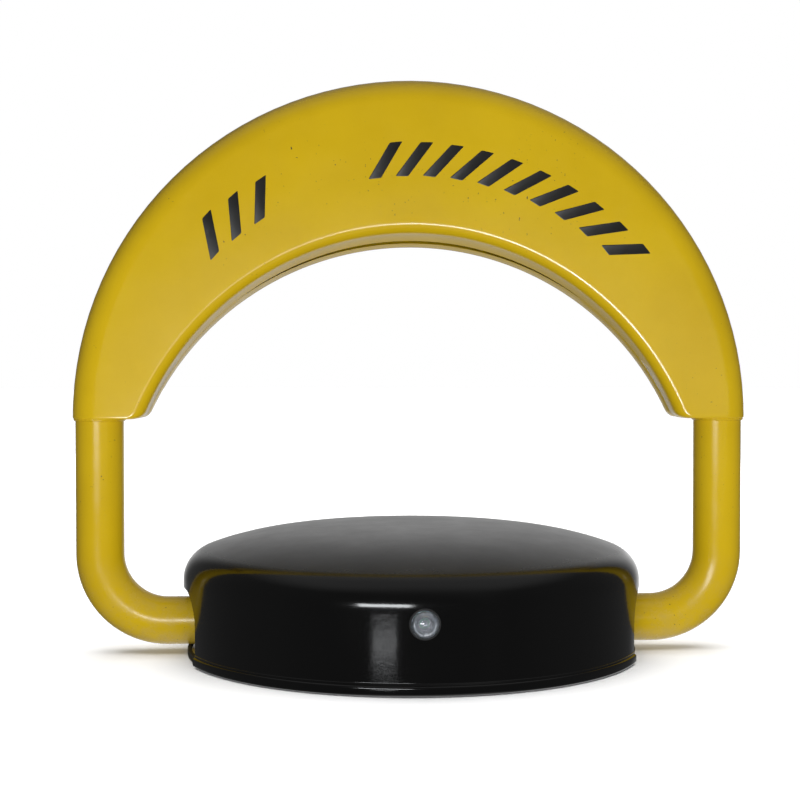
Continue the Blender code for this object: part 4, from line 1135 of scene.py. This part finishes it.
def make_leads():
    """The leads, on the CAD's routes, with a crimped sleeve where one leaves a battery terminal."""
    cap, wall, rear, tab = -0.1371, 0.0444, -0.0494, 0.0406
    x, _, z = MOTOR_AT
    motor = [(x, cap, z), (x, cap - 0.005, z), (0.004, cap - 0.012, 0.043)]
    motor += [(0.016, -0.148, 0.031), (0.027, -0.133, 0.023), (0.034, -0.114, 0.021)]
    motor += [(wall - 0.006, -0.106, 0.021), (wall, -0.106, 0.021)]
    plus = [(0.06, tab, 0.055), (0.06, tab - 0.005, 0.055), (0.064, 0.024, 0.059)]
    plus += [(0.072, 0.004, 0.061), (0.077, -0.02, 0.05), (0.078, -0.037, 0.033)]
    plus += [(0.078, rear + 0.005, 0.028), (0.078, rear, 0.028)]
    minus = [(-0.06, tab, 0.055), (-0.06, tab - 0.005, 0.055), (-0.05, 0.031, 0.06)]
    minus += [(-0.02, 0.03, 0.062), (0.02, 0.029, 0.063), (0.052, 0.016, 0.064)]
    minus += [(0.064, -0.008, 0.058), (0.066, -0.035, 0.035)]
    minus += [(0.066, rear + 0.005, 0.028), (0.066, rear, 0.028)]
    sleeve = [(0.0019, tab - 0.0062), (0.0027, tab - 0.006), (0.0029, tab - 0.005)]
    sleeve += [(0.0029, tab - 0.0008), (0.0026, tab - 0.0002), (0.0019, tab - 0.0002)]
    fine("motor_lead", tube_along(smooth_route(motor), 0.0022), BLACK_LEAD, sharp=50)
    for label, points, look in (("plus", plus, RED_LEAD), ("minus", minus, BLACK_LEAD)):
        fine(f"battery_lead_{label}", tube_along(smooth_route(points), 0.0018), look, sharp=50)
        add(f"battery_sleeve_{label}", turned(sleeve, (points[0][0], 0, 0.055), "Y", 36), look)


# ---- lens fittings and lock


def hex_nut(bore, rim, head, low, high, at):
    """A thin hexagon nut along Y, chamfered on both faces."""
    flank = [(head, low + 0.0006), (head, high - 0.0006)]
    profile = [(bore, low), (rim, low), *flank, (rim, high), (bore, high)]
    return turned(profile, at, "Y", 72, hexagon=(2, 3))


def make_fittings():
    at = (0, 0, LENS_Z)
    fine("lens_nut", hex_nut(0.0102, 0.0125, 0.014, -0.1985, -0.1935, at), BLACK_PLASTIC, "cover")
    board = rod(0.007, -0.19, -0.188, at, "Y", 64, 0.0002)
    add("indicator_board", board, BOARD, "cover")
    dome = [(0, -0.201)]
    for a in (radians(turn) for turn in range(12, 91, 12)):
        dome.append((0.0025 * sin(a), -0.1985 - 0.0025 * cos(a)))
    dome += [(0.0025, -0.1912), (0.0027, -0.1912), (0.0027, -0.1901), (0, -0.1901)]
    fine("indicator_led", turned(dome, at, "Y", 40), LENS, "cover", 50)


def make_lock():
    at = (0, 0, LOCK_Z)
    face, flange, end = 0.2028, 0.2058, 0.18
    barrel = [(0.0069, end), (0.0092, end), (0.0097, end + 0.0005), (0.0097, face), (0.013, face)]
    barrel += [(0.013, flange - 0.0012), (0.0126, flange - 0.0005), (0.0116, flange - 0.0002)]
    barrel += [(0.0088, flange), (0.008, flange - 0.0004), (0.0069, flange - 0.0007)]
    fine("lock_body", turned(barrel, at, "Y", 96), CHROME, "cover")
    fine("lock_nut", hex_nut(0.0101, 0.0135, 0.015, 0.1935, 0.198, at), ZINC, "cover")
    plug = rod(0.0065, end - 0.001, flange - 0.0006, at, "Y", 64, 0.0005)
    key = box((-0.0008, 0.1998, LOCK_Z - 0.0036), (0.0008, 0.22, LOCK_Z + 0.0036))
    step = box((-0.0013, 0.1998, LOCK_Z - 0.001), (0.0013, 0.22, LOCK_Z + 0.0016))
    fine("lock_plug", combine(combine(plug, key), step), BRASS, "key")
    half, tip, corner, neck = 0.006, LOCK_Z - 0.026, 0.002, LOCK_Z - 0.009
    outline = arc((0, LOCK_Z), 0.0085, -30, 210, 30) + [(-half, neck)]
    outline += arc((-half + corner, tip + corner), corner, 180, 270, 6)
    outline += arc((half - corner, tip + corner), corner, 270, 360, 6) + [(half, neck)]
    fine("lock_cam", pressed(outline, "Y", 0.1757, 0.1787), ZINC, "key")
    screw = [(0, 0.1756), (0.0032, 0.1756), (0.0035, 0.1752)]
    screw += [(0.0035, 0.1738), (0.0028, 0.1731), (0, 0.1731)]
    add("lock_cam_screw", turned(screw, at, "Y", 36, hexagon=(2, 3)), ZINC, "key")
    low, high, thick = 0.0525, 0.056, 0.003
    post = [(0.014, low), (0.029, low)] + arc((0.029, low - 0.002), 0.002, 90, 0, 5)[1:]
    post += [(0.031, FLOOR), (0.054, FLOOR), (0.054, FLOOR + thick)]
    post += arc((0.036, FLOOR + thick + 0.002), 0.002, 270, 180, 5) + [(0.034, high - 0.003)]
    post += arc((0.031, high - 0.003), 0.003, 0, 90, 6)[1:] + [(0.014, high)]
    catch = pressed(post, "Y", 0.167, 0.18)
    catch = bored(catch, rod(0.0022, 0, 0.03, (0.046, 0.1735, 0), "Z", 24))
    fine("lock_catch", catch, ZINC)
    add("catch_screw", cap_screw(0.0034, FLOOR + thick + 0.0001, 0.0026, (0.046, 0.1735, 0)), DARK_STEEL)


# ---- studio


def light(name, kind, at, target, strength, colour=(1, 1, 1), size=None, spread=0.0, shines=True):
    """A light aimed at a point. One that doesn't shine leaves no highlight on what it falls on."""
    data = bpy.data.lights.new(name, kind)
    data.energy = strength
    data.color = colour
    if size:
        data.shape = "RECTANGLE"
        data.size, data.size_y = size
    if spread:
        data.angle = radians(spread)
    item = placed(name, data)
    item.location = at
    item.rotation_euler = (Vector(target) - Vector(at)).to_track_quat("-Z", "Y").to_euler()
    item.visible_glossy = shines
    return item


def make_floor():
    """A plain pale floor with its own even light from above, which falls on nothing else."""
    bm = bmesh.new()
    bmesh.ops.create_circle(bm, cap_ends=True, segments=96, radius=12.0)
    mesh = mesh_of("floor", bm)
    look = Look("floor_paper", "", (0.86, 0.86, 0.86), 0.9)
    look.set("Specular IOR Level", 0.1)
    look.set("Roughness", look.uneven(0.85, 0.95, 3, 2))
    mesh.materials.append(look.material)
    floor = placed("floor", mesh)
    floor.visible_glossy = False
    floor.visible_diffuse = False
    floor.visible_shadow = False
    lit = bpy.data.collections.new("floor_only")
    lit.objects.link(floor)
    above = light("floor_light", "SUN", (0, 0, 3), (0, 0, 0), FLOOR_LIGHT, spread=70)
    above.light_linking.receiver_collection = lit


def make_world():
    """White behind the object, and for its light a dim room that is brighter low down at the back."""
    world = bpy.data.worlds.new("studio")
    bpy.context.scene.world = world
    world.use_nodes = True
    nodes, links = world.node_tree.nodes, world.node_tree.links

    def between(value, low, high, out_low, out_high):
        made = nodes.new("ShaderNodeMapRange")
        made.interpolation_type = "SMOOTHSTEP"
        names = ("Value", "From Min", "From Max", "To Min", "To Max")
        for name, given in zip(names, (value, low, high, out_low, out_high)):
            feed(world.node_tree, made.inputs[name], given)
        return made.outputs["Result"]

    white = nodes["Background"]
    white.inputs["Color"].default_value = (1.0, 1.0, 1.0, 1.0)
    white.inputs["Strength"].default_value = 1.0
    toward = nodes.new("ShaderNodeSeparateXYZ")
    links.new(nodes.new("ShaderNodeTexCoord").outputs["Generated"], toward.inputs[0])
    back = between(toward.outputs["Z"], 0.0, 0.75, BACK_LOW, ROOM)
    right = between(toward.outputs["X"], 0.3, 0.7, back, SIDE)
    left = between(toward.outputs["X"], -0.5, 0.0, SIDE, right)
    overhead = between(toward.outputs["Z"], 0.6, 0.9, left, OVERHEAD)
    level = between(toward.outputs["Y"], -0.9, -0.2, FRONT, overhead)
    room = nodes.new("ShaderNodeBackground")
    links.new(level, room.inputs["Strength"])
    seen = nodes.new("ShaderNodeLightPath")
    mixed = nodes.new("ShaderNodeMixShader")
    links.new(seen.outputs["Is Camera Ray"], mixed.inputs["Fac"])
    links.new(room.outputs[0], mixed.inputs[1])
    links.new(white.outputs[0], mixed.inputs[2])
    links.new(mixed.outputs[0], nodes["World Output"].inputs["Surface"])


def make_lights():
    """A low, wide, window-like key light at the front left, and soft fills at the front and the back.

    The panel is flat enough to mirror the key as a glare, so it takes that light without the shine, and a
    small low light gives its inner lip the highlight."""
    middle = (0, 0, 0.22)
    window = (0.95, 0.98, 1.0)
    key = light("key", "AREA", (-0.58, -2.15, 0.32), middle, KEY, window, (0.95, 0.3))
    shine = light("floor_shine", "AREA", (-0.58, -2.15, -0.33), middle, FLOOR_SHINE, window, (0.42, 0.02))
    matt = light("panel_key", "AREA", (-0.35, -1.2, -0.1), middle, PANEL_KEY, window, (0.5, 0.2), 0.0, False)
    lip = light("panel_lip", "AREA", (-0.15, -2.2, -0.45), middle, LIP_LIGHT, window, (0.6, 0.05))
    lip.visible_diffuse = False
    light("front_fill", "AREA", (0.5, -2.4, 0.2), middle, FRONT_FILL, size=(2.6, 0.5), shines=False)
    light("rear_fill", "AREA", (0.6, 2.4, 1.1), middle, REAR_FILL, size=(2.5, 1.6), shines=False)
    for lamps, state in (((key, shine), "EXCLUDE"), ((matt, lip), "INCLUDE")):
        for lamp in lamps:
            group = bpy.data.collections.new(lamp.name + "_panel")
            for name in ("arch_front_shell_fine", "arch_rear_shell_fine", "hazard_bars"):
                group.objects.link(bpy.data.objects[name])
            for member in group.collection_objects:
                member.light_linking.link_state = state
            lamp.light_linking.receiver_collection = group


def make_camera():
    down, right = 1.55, 2.63
    data = bpy.data.cameras.new("camera")
    data.sensor_width = 36
    data.lens = 70.47
    camera = placed("camera", data)
    camera.location = (-0.0743, -1.4, 0.2621)
    camera.rotation_euler = (radians(90 - down), 0, radians(-right))
    bpy.context.scene.camera = camera
    bpy.context.scene.view_settings.view_transform = "Standard"


make_camera()
make_floor()
make_world()
make_tube()
make_shells()
make_rear_screws()
make_hazard_bars()
make_cover()
make_lens()
make_plate()
make_bearings()
make_shaft()
make_gears()
make_spring()
make_gearmotor()
make_battery()
make_control_box()
make_board()
make_buzzer()
make_sensors()
make_leads()
make_fittings()
make_lock()
make_lights()
